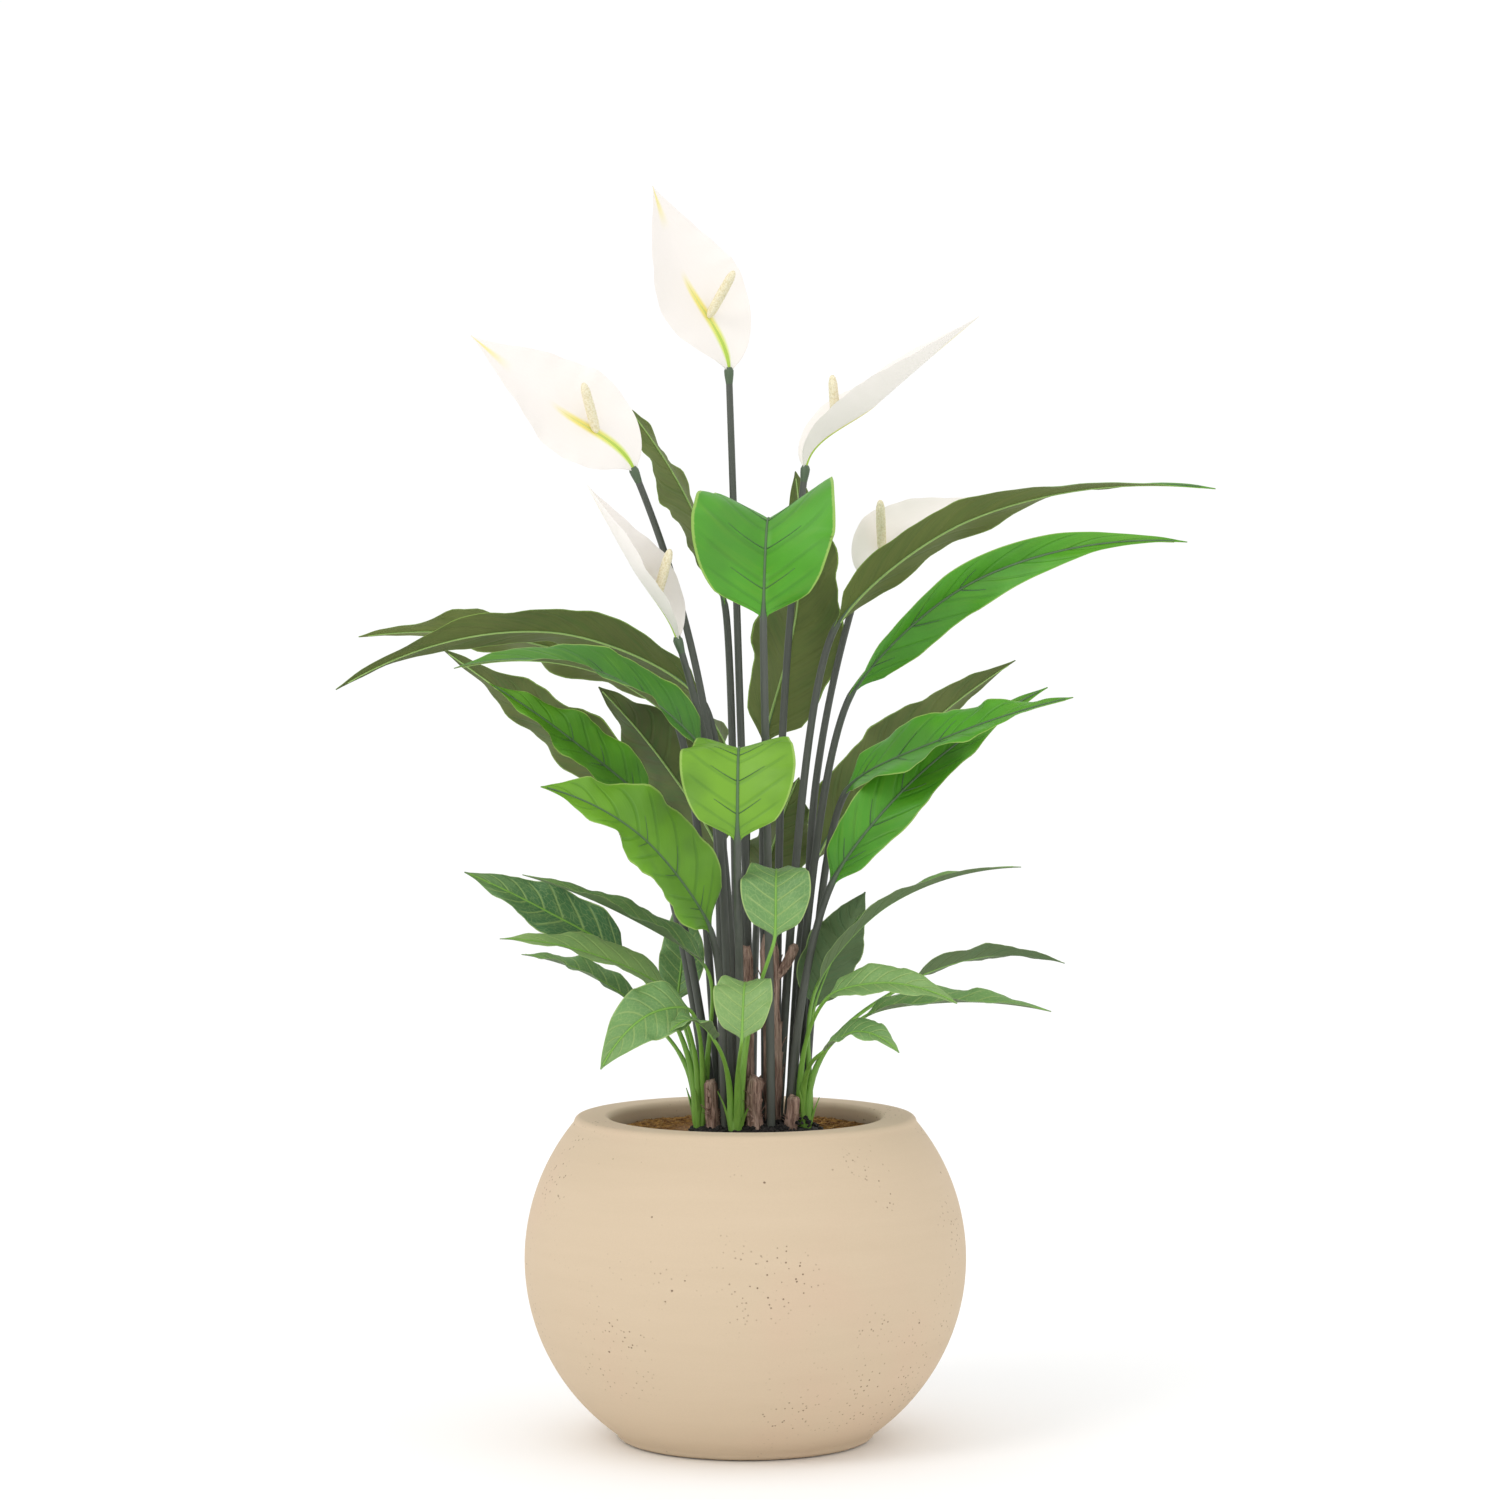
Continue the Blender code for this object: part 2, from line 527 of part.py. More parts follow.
# ---------------------------------------------------------------- leaves and flowers
def build_leaf(name, knots, stem_steps, blade_steps, radii, shape, group, mat):
    """A leaf and its stem as one piece, lofted from the foot through the collar to the tip."""
    foot_radius, collar_radius = radii
    half_width, fold, turns = shape
    collar, tip = knots[-3], knots[-1]
    heading = level_heading(collar, tip)
    stations = spine(knots, (*stem_steps, blade_steps, blade_steps), UPRIGHT, LEAF_SPRINGS)
    stem_count = sum(stem_steps)
    rings = []
    for number, station in enumerate(stations):
        if number <= stem_count:
            share = number / stem_count
            radius = foot_radius + (collar_radius - foot_radius) * share
            rings.append(stem_ring(station, radius, heading, turns[0]))
        else:
            place = (number - stem_count) / (2 * blade_steps)
            row = (half_width, fold, turns, heading)
            rings.append(blade_ring(station, place, row, collar_radius, half_width * 0.10))
    return loft(name, rings, group, mat)


def build_large_leaf(row, group, mat):
    name, foot, collar, middle, tip, half_width, fold, turns = row
    knots = [Vector((foot[0], foot[1], SOCKET_FLOOR + GAP)), Vector((foot[0], foot[1], MOUND_TOP)),
             above_disc(collar), above_disc(middle), above_disc(tip)]
    return build_leaf(name, knots, (1, 6), 5, (STEM_RADIUS, STEM_RADIUS * 0.8),
                      (half_width, fold, turns), group, mat)


def petiole_foot(sheath, degrees):
    x, y = SHEATHS[sheath]
    angle = math.radians(degrees)
    return Vector((x + PETIOLE_CIRCLE * math.cos(angle), y + PETIOLE_CIRCLE * math.sin(angle),
                   SHEATH_TOP + GAP))


def build_small_leaf(row, group, mat):
    name, sheath, degrees, collar, middle, tip, half_width, fold, turns = row
    knots = [petiole_foot(sheath, degrees), above_disc(collar), above_disc(middle),
             above_disc(tip)]
    return build_leaf(name, knots, (5,), 4, (PETIOLE_FOOT_RADIUS, PETIOLE_RADIUS),
                      (half_width, fold, turns), group, mat)


def build_flower_stem(name, foot, bend, collar, group, mat):
    knots = [Vector((foot[0], foot[1], SOCKET_FLOOR + GAP)), Vector((foot[0], foot[1], MOUND_TOP)),
             above_disc(bend), above_disc(collar)]
    heading = level_heading(foot, collar)
    rings = []
    for number, station in enumerate(spine(knots, (1, 5, 5))):
        radius = FLOWER_STEM_RADIUS * (1.0 - 0.2 * number / 11)
        rings.append(stem_ring(station, radius, heading))
    loft(name, rings, group, mat)
    return spine_directions(knots, UPRIGHT)[-1]


def spathe_width(place, half_width):
    """Half the width of a hood: an egg shape drawn out to a fine tip."""
    swell = math.sin(math.pi * place**0.62) ** 0.72
    return max(half_width * swell * (1 - 0.30 * place**3), TIP_HALF_WIDTH)


def build_spathe(name, knots, stem_end, shape, group, mat):
    """The hood, a thin cupped blade that starts just past the end of its stem."""
    half_width, fold, turns = shape
    heading = level_heading(knots[0], knots[-1])
    rings = []
    steps = 5
    stations = spine(knots, (steps, steps), stem_end)
    rib = MIDRIB_HALF_THICKNESS
    for number, (point, direction) in enumerate(stations):
        place = number / (2 * steps)
        side, normal = blade_axes(heading, direction, three_way(turns, place))
        if number == 2 * steps:
            rings.append(round_ring(point, side, normal, TIP_HALF_WIDTH))
            break
        width = max(spathe_width(max(place, 0.001), half_width), 0.003 * (1 - place))
        angle = math.radians(fold)
        ring = []
        for index, factor in enumerate(CARDINAL_FACTORS):
            reach = abs(factor)
            above = 0.0 if reach == 1.0 else (1.0 if index < 4 else -1.0)
            thickness = rib if reach == 0.0 else BLADE_HALF_THICKNESS
            across = factor * width * math.cos(angle)
            lift = width * math.sin(angle) * reach**1.5
            ring.append(point + side * across + normal * (lift + above * thickness))
        rings.append(ring)
    fine_steps = 100
    seat, direction = spine(knots, (fine_steps, 1), stem_end)[round(SPADIX_PLACE * 2 * fine_steps)]
    normal = blade_axes(heading, direction, three_way(turns, SPADIX_PLACE))[1]
    loft(name, rings, group, mat)
    return seat, normal


def build_spadix(name, seat, normal, axis, group, mat):
    """The spike, on a narrow foot just above the hood's midrib."""
    start = seat + normal * (MIDRIB_HALF_THICKNESS + SPADIX_LIFT)
    reach = Vector(axis)
    direction = reach.normalized()
    length = reach.length
    girths = ((0.0, 0.4), (0.06, 0.8), (0.16, 1.0), (0.55, 1.05), (0.85, 0.95), (0.96, 0.65),
              (1.0, 0.4))
    rings = []
    for share, girth in girths:
        station = (start + direction * length * share, direction)
        rings.append(stem_ring(station, SPADIX_RADIUS * girth, Vector((1.0, 0.0, 0.0))))
    return loft(name, rings, group, mat)


def build_flower(row, group, mats):
    number, foot, bend, collar, middle, tip, half_width, fold, turns, axis = row
    stem_mat, spathe_mat, spadix_mat = mats
    stem_end = build_flower_stem(f"stem_{number}", foot, bend, collar, group, stem_mat)
    start = above_disc(collar) + stem_end * (FLOWER_STEM_RADIUS + GAP)
    seat, normal = build_spathe(f"spathe_{number}", (start, above_disc(middle), above_disc(tip)),
                                stem_end, (half_width, fold, turns), group, spathe_mat)
    build_spadix(f"spadix_{number}", seat, normal, axis, group, spadix_mat)


# ---------------------------------------------------------------- the whole plant
def main():
    clear_scene()
    parts = collection("potted_peace_lily")
    cutters = collection("cutters")
    sockets = [(row[1], STEM_RADIUS) for row in LARGE_LEAVES]
    sockets += [(row[1], FLOWER_STEM_RADIUS) for row in FLOWERS]
    sockets += [(row[1], row[2]) for row in CANES]
    sockets += [(foot, SHEATH_FOOT_RADIUS) for foot in SHEATHS.values()]

    build_planter(parts)
    build_filler_disc(parts, cutters)
    build_inner_pot(parts)
    build_plug(parts, cutters, sockets)

    bark = material("bark", (0.16, 0.08, 0.05), 0.95)
    for name, foot, radius, axis_points in CANES:
        build_cane(name, foot, radius, axis_points, parts, bark)
    light_plastic = material("light_green_plastic", (0.18, 0.42, 0.05), 0.45)
    for name, foot in SHEATHS.items():
        build_sheath(name, foot, parts, light_plastic)
    leaf_green = material("leaf_green", (0.08, 0.32, 0.02), 0.4)
    for row in LARGE_LEAVES:
        build_large_leaf(row, parts, leaf_green)
    small_green = material("small_leaf_fabric", (0.14, 0.32, 0.07), 0.7)
    for row in SMALL_LEAVES:
        build_small_leaf(row, parts, small_green)
    flower_mats = (material("stem_plastic", (0.06, 0.08, 0.06), 0.5),
                   material("spathe_white", (0.9, 0.82, 0.74), 0.6),
                   material("spadix_cream", (0.85, 0.80, 0.62), 0.7))
    for row in FLOWERS:
        build_flower(row, parts, flower_mats)


main()
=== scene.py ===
# %% [markdown]
# # A potted artificial peace lily
# The real object is an artificial plant: coated-fabric leaves on plastic-covered wire stems, small
# leaf sprigs, white hooded flowers and bark-wrapped canes, all pushed into a black weighted plug that
# stands in a globe planter of sandstone-coloured fibre clay. The packed model is loaded first, as a
# fixed frame. Each visible piece is then rebuilt finer, in the same place, from the same few points.

# %% Load the frame
import math
import random

import bpy
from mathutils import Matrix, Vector, noise


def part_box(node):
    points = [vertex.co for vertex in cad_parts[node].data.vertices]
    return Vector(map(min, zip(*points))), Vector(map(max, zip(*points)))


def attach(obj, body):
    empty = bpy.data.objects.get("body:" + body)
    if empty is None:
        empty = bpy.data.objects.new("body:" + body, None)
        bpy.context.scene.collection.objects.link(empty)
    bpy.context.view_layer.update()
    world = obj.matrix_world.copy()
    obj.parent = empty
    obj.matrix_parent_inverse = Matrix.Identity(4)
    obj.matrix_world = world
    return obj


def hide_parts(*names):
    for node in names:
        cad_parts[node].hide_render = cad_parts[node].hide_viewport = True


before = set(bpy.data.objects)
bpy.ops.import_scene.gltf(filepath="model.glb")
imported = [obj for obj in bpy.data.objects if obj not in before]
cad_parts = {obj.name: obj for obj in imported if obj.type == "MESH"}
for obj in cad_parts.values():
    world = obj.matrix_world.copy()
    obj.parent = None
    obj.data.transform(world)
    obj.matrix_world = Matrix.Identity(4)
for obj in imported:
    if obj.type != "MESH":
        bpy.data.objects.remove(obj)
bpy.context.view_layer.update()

# %% [markdown]
# ## Levels taken from the frame
# The planter's rim and the top of the filler disc come from the packed pieces, so the visible
# pieces stand exactly where the solid ones do. Every height in the layout is counted from the disc.

# %% Levels
PLANTER_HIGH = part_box("planter")[1]
PLANTER_HEIGHT = PLANTER_HIGH.z
DISC_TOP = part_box("filler_disc")[1].z
MOUND_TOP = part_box("plug")[1].z
SOCKET_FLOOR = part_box("leaf_a")[0].z
SHEATH_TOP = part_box("sheath_left")[1].z
PLUG_CENTRE = Vector((0.010, 0.0))
NECK_RADIUS = 0.061
DISC_RADIUS = 0.120
print("rim", round(PLANTER_HEIGHT, 4), "disc", round(DISC_TOP, 4), "mound", round(MOUND_TOP, 4))

# %% [markdown]
# ## Writing a material as arithmetic
# A procedural material is a small calculation done at every point of a surface. Wrapping a socket in
# a class that answers to +, -, * and / lets that calculation be read as a line of arithmetic. Each
# operation adds one Math node, so nothing is hidden from whoever opens the material later.


# %% Sockets that do arithmetic
class Value:
    """A number that varies over the surface. Arithmetic on it adds Math nodes."""

    def __init__(self, finish, socket):
        self.finish = finish
        self.socket = socket

    def math(self, operation, first, second=None):
        inputs = {0: first} if second is None else {0: first, 1: second}
        return self.finish.node("ShaderNodeMath", {"operation": operation}, inputs)

    def __add__(self, other):
        return self.math("ADD", self, other)

    def __sub__(self, other):
        return self.math("SUBTRACT", self, other)

    def __rsub__(self, other):
        return self.math("SUBTRACT", other, self)

    def __mul__(self, other):
        return self.math("MULTIPLY", self, other)

    def __truediv__(self, other):
        return self.math("DIVIDE", self, other)

    def __rtruediv__(self, other):
        return self.math("DIVIDE", other, self)

    def __pow__(self, other):
        return self.math("POWER", self, other)

    def __abs__(self):
        return self.math("ABSOLUTE", self)

    def fraction(self):
        return self.math("FRACT", self)

    def wave(self):
        return self.math("SINE", self)

    def highest(self, other):
        return self.math("MAXIMUM", self, other)

    __radd__ = __add__
    __rmul__ = __mul__


print("operators ready:", [name for name in vars(Value) if name.startswith("__r")])

# %% [markdown]
# ## A finish and the nodes it may use
# Everything that isn't plain arithmetic, such as a noise, a ramp or a colour mix, goes through one
# method that takes the node's type, its settings and its inputs. A finish owns one shader. Constants
# are set on it directly, and only what varies over the surface is connected.


# %% Finish helper
class Finish:
    """One material, with its Principled shader and the few nodes that the finishes here use."""

    def __init__(self, name, **constants):
        self.material = bpy.data.materials.new(name)
        self.material.use_nodes = True
        self.tree = self.material.node_tree
        self.shader = self.tree.nodes["Principled BSDF"]
        for socket, value in constants.items():
            self.shader.inputs[socket.replace("_", " ")].default_value = value

    def feed(self, socket, value):
        if isinstance(value, Value):
            self.tree.links.new(value.socket, socket)
        elif socket.type == "RGBA":
            socket.default_value = (*value, 1.0)
        else:
            socket.default_value = value

    def node(self, kind, settings, inputs, output=0):
        made = self.tree.nodes.new(kind)
        for key, value in settings.items():
            setattr(made, key, value)
        for key, value in inputs.items():
            self.feed(made.inputs[key], value)
        return Value(self, made.outputs[output])

    def place(self):
        return self.node("ShaderNodeTexCoord", {}, {}, "Object")

    def stored(self, name):
        return self.node("ShaderNodeAttribute", {"attribute_name": name}, {}, "Fac")

    def vector(self, x, y, z):
        return self.node("ShaderNodeCombineXYZ", {}, {0: x, 1: y, 2: z})

    def stretched(self, vector, factors):
        return self.node("ShaderNodeVectorMath", {"operation": "MULTIPLY"},
                         {0: vector, 1: factors})

    def noise(self, vector, scale, detail=3.0, roughness=0.55):
        return self.node("ShaderNodeTexNoise", {},
                         {"Vector": vector, "Scale": scale, "Detail": detail,
                          "Roughness": roughness}, 0)

    def cells(self, vector, scale, feature="F1"):
        return self.node("ShaderNodeTexVoronoi", {"feature": feature},
                         {"Vector": vector, "Scale": scale}, "Distance")

    def ramp(self, value, low, high):
        """0 below low, 1 above high, and a smooth climb between."""
        return self.node("ShaderNodeMapRange", {"interpolation_type": "SMOOTHSTEP"},
                         {"Value": value, "From Min": low, "From Max": high})

    def mix(self, share, first, second):
        return self.node("ShaderNodeMix", {"data_type": "RGBA"}, {0: share, 6: first, 7: second}, 2)

    def bump(self, height, strength, distance):
        return self.node("ShaderNodeBump", {},
                         {"Height": height, "Strength": strength, "Distance": distance})

    def wear(self, **fields):
        """Connect what varies to the shader's own sockets."""
        for socket, value in fields.items():
            self.feed(self.shader.inputs[socket.replace("_", " ")], value)
        return self.material


def drifting(name, first, second, stretch, detail, roughness, spread, relief=None):
    """A finish that drifts between two colours, with a roughness that follows the drift."""
    finish = Finish(name)
    drift = finish.noise(finish.stretched(finish.place(), stretch), 1.0, detail)
    finish.wear(Base_Color=finish.mix(drift, first, second), Roughness=roughness + drift * spread)
    if relief:
        finish.wear(Normal=finish.bump(drift, *relief))
    return finish


print("finish helper ready")

# %% [markdown]
# ## Smooth lines through a few points
# A stem or a leaf's midrib is described by three or four given points. A cubic between each
# pair, which leaves and arrives in the direction halfway between its neighbours, gives a line that
# bends as a coated wire does, without kinks.

# %% Spines
UPRIGHT = Vector((0.0, 0.0, 1.0))
LEAF_SPRINGS = (1.5, 0.6, 1.0)


def hermite(start, end, leave, arrive, step):
    a = 2 * step**3 - 3 * step**2 + 1
    b = step**3 - 2 * step**2 + step
    c = -2 * step**3 + 3 * step**2
    d = step**3 - step**2
    slope = ((6 * step**2 - 6 * step) * (start - end) + (3 * step**2 - 4 * step + 1) * leave
             + (3 * step**2 - 2 * step) * arrive)
    return a * start + b * leave + c * end + d * arrive, slope.normalized()


def spine_directions(knots, first):
    directions = [first]
    for index in range(1, len(knots) - 1):
        before = (knots[index] - knots[index - 1]).normalized()
        after = (knots[index + 1] - knots[index]).normalized()
        directions.append((before + after).normalized())
    last = (knots[-1] - knots[-2]).normalized()
    directions.append((2 * last - directions[-1]).normalized())
    return directions


def spine(knots, steps, first=UPRIGHT, springs=(1.0, 1.0, 1.0)):
    directions = spine_directions(knots, first)
    spans = [(knots[index + 1] - knots[index]).length for index in range(len(knots) - 1)]
    stations = [(knots[0], directions[0])]
    for index, count in enumerate(steps):
        next_span = spans[min(index + 1, len(spans) - 1)]
        spring = springs[index - len(spans)] if index >= len(spans) - 3 else 1.0
        leave = directions[index] * spans[index] * spring
        arrive = directions[index + 1] * min(spans[index], next_span)
        for step in range(1, count + 1):
            stations.append(hermite(knots[index], knots[index + 1], leave, arrive, step / count))
    return stations


def above_disc(point):
    return Vector((point[0], point[1], DISC_TOP + point[2]))


print("a test span has", len(spine([Vector((0, 0, 0)), Vector((0, 0, 1)), Vector((1, 0, 1))],
                                   (4, 4))), "stations")

# %% [markdown]
# ## Collecting a piece
# One visible piece often holds several small closed shapes: a blade, its moulded rib and the side
# ribs, for example. A little builder gathers them into one mesh, with a material number for each
# face and a few stored numbers for each point, such as how far along the blade it lies.


# %% Piece builder
class Piece:
    """Gathers closed shapes, then makes one object of them."""

    def __init__(self, name, node, slot, fields=()):
        self.name = name
        self.node = node
        self.slot = slot
        self.points = []
        self.faces = []
        self.face_materials = []
        self.fields = {field: [] for field in fields}

    def add(self, points, faces, material=0, **stored):
        start = len(self.points)
        self.points += [tuple(point) for point in points]
        self.faces += [tuple(start + corner for corner in face) for face in faces]
        self.face_materials += [material] * len(faces)
        for field, values in self.fields.items():
            values += stored.get(field, [0.0] * len(points))

    def tube(self, rings, material=0, **stored):
        """A closed loft through rings with the same number of points."""
        sides = len(rings[0])
        faces = [tuple(range(sides - 1, -1, -1))]
        for row in range(len(rings) - 1):
            low = row * sides
            for side in range(sides):
                after = (side + 1) % sides
                faces.append((low + side, low + after, low + sides + after, low + sides + side))
        last = (len(rings) - 1) * sides
        faces.append(tuple(range(last, last + sides)))
        self.add([point for ring in rings for point in ring], faces, material, **stored)

    def make(self, materials, smooth=60):
        mesh = bpy.data.meshes.new(self.name)
        mesh.from_pydata(self.points, [], self.faces)
        mesh.polygons.foreach_set("material_index", self.face_materials)
        for field, values in self.fields.items():
            mesh.attributes.new(field, "FLOAT", "POINT").data.foreach_set("value", values)
        for material in materials:
            mesh.materials.append(material)
        mesh.update()
        mesh.shade_smooth()
        mesh.set_sharp_from_angle(angle=math.radians(smooth))
        item = bpy.data.objects.new(self.name, mesh)
        bpy.context.scene.collection.objects.link(item)
        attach(item, "root")
        if self.node:
            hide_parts(self.node)
        return item


print("a piece can", [name for name in vars(Piece) if not name.startswith("_")])

# %% [markdown]
# ## Rods
# Wires, ribs, fibres and petioles are all round rods along a line. Blender's curve bevel would draw
# them too, but rings placed one by one can be given stored numbers, and they stay plain meshes.


# %% Rod helper
def ring_round(point, side, normal, radius, sides):
    """Counter-clockwise as seen looking back along the line."""
    ring = []
    for index in range(sides):
        angle = 2 * math.pi * index / sides
        ring.append(point + radius * (side * math.cos(angle) + normal * math.sin(angle)))
    return ring


def any_side(direction):
    level = Vector((1.0, 0.0, 0.0))
    return (level - direction * level.dot(direction)).normalized()


def add_rod(piece, stations, radii, sides, material=0, **stored):
    """A round rod along stations of (point, direction), with a radius for each."""
    rings = []
    for (point, direction), radius in zip(stations, radii):
        side = any_side(direction)
        rings.append(ring_round(point, side, direction.cross(side), radius, sides))
    piece.tube(rings, material, **stored)


print("a rod ring has", len(ring_round(UPRIGHT, any_side(UPRIGHT), UPRIGHT, 0.01, 12)), "points")

# %% [markdown]
# ## Planter
# The pot is a cast globe of fibre clay with a soft rim and a flat foot. It could be a sphere cut twice,
# but one profile turned about the axis gives the outside, the rounded rim, the lip and the inside in
# one go. Each ring is pushed in and out by a slow noise, by half a millimetre, since a cast and
# hand-rubbed pot is never quite round.

# %% Planter shape
PLANTER_RADIUS = PLANTER_HIGH.x
WIDEST_LEVEL = 0.164
FOOT_RADIUS = 0.117
PLANTER_WALL = 0.016
PLANTER_FLOOR = 0.022
MOUTH_RADIUS = 0.122
RIM_RADIUS = 0.155
RIM_ROUND = 0.006


def globe_radius(height, inset=0.0):
    if height >= WIDEST_LEVEL:
        edge_radius, edge_rise = RIM_RADIUS, PLANTER_HEIGHT - RIM_ROUND - WIDEST_LEVEL
    else:
        edge_radius, edge_rise = FOOT_RADIUS, WIDEST_LEVEL - RIM_ROUND
    half_height = edge_rise / math.sqrt(1.0 - (edge_radius / PLANTER_RADIUS) ** 2)
    rise = (height - WIDEST_LEVEL) / (half_height - inset)
    return (PLANTER_RADIUS - inset) * math.sqrt(max(0.0, 1.0 - rise * rise))


def planter_profile():
    profile = [(FOOT_RADIUS - 1.5 * RIM_ROUND, 0.0)]
    for step in range(1, 7):
        angle = math.pi / 2 * step / 6
        profile.append((FOOT_RADIUS - 1.5 * RIM_ROUND * (1 - math.sin(angle)),
                        RIM_ROUND * (1 - math.cos(angle))))
    for step in range(1, 61):
        height = RIM_ROUND + (PLANTER_HEIGHT - 2 * RIM_ROUND) * step / 60
        profile.append((globe_radius(height), height))
    for step in range(1, 9):
        angle = math.pi / 2 * step / 8
        profile.append((RIM_RADIUS - RIM_ROUND * (1 - math.cos(angle)),
                        PLANTER_HEIGHT - RIM_ROUND * (1 - math.sin(angle))))
    for step in range(0, 9):
        angle = math.pi / 2 * step / 8
        profile.append((MOUTH_RADIUS + RIM_ROUND * (1 - math.sin(angle)),
                        PLANTER_HEIGHT - RIM_ROUND * (1 - math.cos(angle))))
    profile.append((MOUTH_RADIUS, DISC_TOP - 0.004))
    profile.append((MOUTH_RADIUS + 0.003, DISC_TOP - 0.007))
    inner_top = DISC_TOP - 0.016
    for step in range(0, 31):
        height = inner_top + (PLANTER_FLOOR - inner_top) * step / 30
        profile.append((max(globe_radius(height, PLANTER_WALL), 0.067), height))
    return profile


def turned_rings(profile, sides, unevenness):
    rings = []
    for radius, height in profile:
        ring = []
        for index in range(sides):
            angle = 2 * math.pi * index / sides
            across = Vector((math.cos(angle), math.sin(angle), 0.0))
            slow = noise.noise(across * 1.6 + Vector((0.0, 0.0, height * 7)))
            grown = radius + unevenness * slow * min(1.0, height / 0.02)
            ring.append(across * grown + Vector((0.0, 0.0, height)))
        rings.append(ring)
    return rings


planter = Piece("globe_planter", "planter", "sandstone")
planter.tube(turned_rings(planter_profile(), 160, 0.0006))
print("planter points:", len(planter.points))

# %% [markdown]
# ## Sandstone finish
# The clay is pale beige and matt, rubbed smooth in level strokes, with small dark pits in loose
# clusters and a faint pink blush. The strokes are a noise stretched round the pot. The pits are
# cells of a Voronoi pattern that only show where a slow noise is high, which leaves them in groups.

# %% Sandstone finish
stone = Finish("sandstone", Roughness=0.85)
where = stone.place()
strokes = stone.noise(stone.stretched(where, (5.0, 5.0, 60.0)), 1.0, 4.0)
blush = stone.ramp(stone.noise(where, 6.0, 2.0), 0.52, 0.78)
grain = stone.noise(where, 700.0, 2.0)
clusters = stone.ramp(stone.noise(where, 9.0, 3.0), 0.50, 0.66)
pits = (1 - stone.ramp(stone.cells(where, 190.0), 0.10, 0.20)) * clusters
wide_place = stone.stretched(where, (1.0, 1.0, 1.2))
large_pits = 1 - stone.ramp(stone.cells(wide_place, 60.0), 0.045, 0.085)
few = stone.ramp(stone.noise(where, 21.0, 2.0), 0.56, 0.62)
holes = pits.highest(large_pits * few)
clay = stone.mix(strokes, (0.655, 0.525, 0.375), (0.60, 0.475, 0.33))
clay = stone.mix(blush * 0.35, clay, (0.66, 0.45, 0.33))
clay = stone.mix(grain * 0.25, clay, (0.50, 0.39, 0.27))
clay = stone.mix(holes * 0.85, clay, (0.16, 0.10, 0.06))
relief = grain * 0.12 + strokes * 0.3 - holes
planter.make([stone.wear(Base_Color=clay, Roughness=0.78 + grain * 0.15,
                         Normal=stone.bump(relief, 0.55, 0.0009))])
print("sandstone nodes:", len(stone.tree.nodes))

# %% [markdown]
# ## Coir disc
# A pressed disc of golden-brown coconut fibre closes the mouth just under the rim. The packed disc is
# kept for its body, and gets a fibrous finish. Loose fibres are laid on it as short bent hairs,
# because it is those hairs, and not a flat colour, that make coir look like coir.

# %% Disc and its fibres
coir = Finish("coir", Roughness=0.95)
where = coir.place()
strands = coir.noise(coir.stretched(where, (90.0, 260.0, 90.0)), 1.0, 5.0, 0.7)
crossing = coir.noise(coir.stretched(where, (300.0, 80.0, 90.0)), 1.0, 5.0, 0.7)
woven = strands.highest(crossing)
brown = coir.mix(coir.ramp(woven, 0.42, 0.72), (0.11, 0.045, 0.008), (0.42, 0.20, 0.035))
coir.wear(Base_Color=brown, Normal=coir.bump(woven, 0.9, 0.002))
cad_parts["filler_disc"].data.materials.clear()
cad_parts["filler_disc"].data.materials.append(coir.material)

draw = random.Random(7)
fibres = Piece("coir_fibres", None, "coir")
for index in range(1500):
    reach = math.sqrt(draw.uniform(0.36, 0.94)) * (DISC_RADIUS - 0.001)
    turn = draw.uniform(0, 2 * math.pi)
    foot = Vector((reach * math.cos(turn), reach * math.sin(turn), DISC_TOP + 0.0004))
    if (foot.xy - PLUG_CENTRE).length < NECK_RADIUS + 0.001:
        continue
    heading = draw.uniform(0, 2 * math.pi)
    length = draw.uniform(0.008, 0.024)
    line = []
    for step in range(5):
        share = step / 4
        bend = heading + draw.uniform(-0.5, 0.5) * share
        rise = 0.0016 * math.sin(math.pi * share) * draw.uniform(0.2, 1.5)
        point = foot + Vector((math.cos(bend), math.sin(bend), 0)) * length * (share - 0.5)
        point.xy *= min(1.0, (DISC_RADIUS - 0.0005) / point.xy.length)
        line.append(point + Vector((0, 0, rise)))
    stations = [(line[i], (line[min(i + 1, 4)] - line[max(i - 1, 0)]).normalized())
                for i in range(5)]
    add_rod(fibres, stations, [0.00022, 0.00030, 0.00030, 0.00026, 0.00014], 3)
fibre_finish = Finish("loose_coir", Roughness=0.9)
tint = fibre_finish.noise(fibre_finish.place(), 160.0, 2.0)
fibre_finish.wear(Base_Color=fibre_finish.mix(fibre_finish.ramp(tint, 0.3, 0.7),
                                              (0.16, 0.07, 0.014), (0.52, 0.29, 0.075)))
fibres.make([fibre_finish.material])
print("coir fibres:", len(fibres.faces), "faces")

# %% [markdown]
# ## The black plug
# Inside, a black nursery pot holds the weight that keeps the plant upright. Its crown shows between
# the stems as dark, lumpy crumbs. The packed plug and pot stay as they are, with matt finishes, and a
# few hundred irregular crumbs lie on the crown, heaped higher towards the right.

# %% Plug, inner pot and crumbs
soil = Finish("plug_black", Roughness=0.9)
where = soil.place()
lumps = soil.noise(where, 240.0, 4.0)
soil.wear(Base_Color=soil.mix(soil.ramp(lumps, 0.35, 0.75), (0.006, 0.005, 0.005),
                              (0.035, 0.030, 0.027)),
          Roughness=0.75 + lumps * 0.2, Normal=soil.bump(lumps, 0.8, 0.0015))
pot_plastic = drifting("black_pot_plastic", (0.012, 0.012, 0.013), (0.035, 0.035, 0.035),
                       (40.0, 40.0, 400.0), 3.0, 0.4, 0.25, (0.2, 0.0005))
for node, finish in (("plug", soil), ("inner_pot", pot_plastic)):
    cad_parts[node].data.materials.clear()
    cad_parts[node].data.materials.append(finish.material)

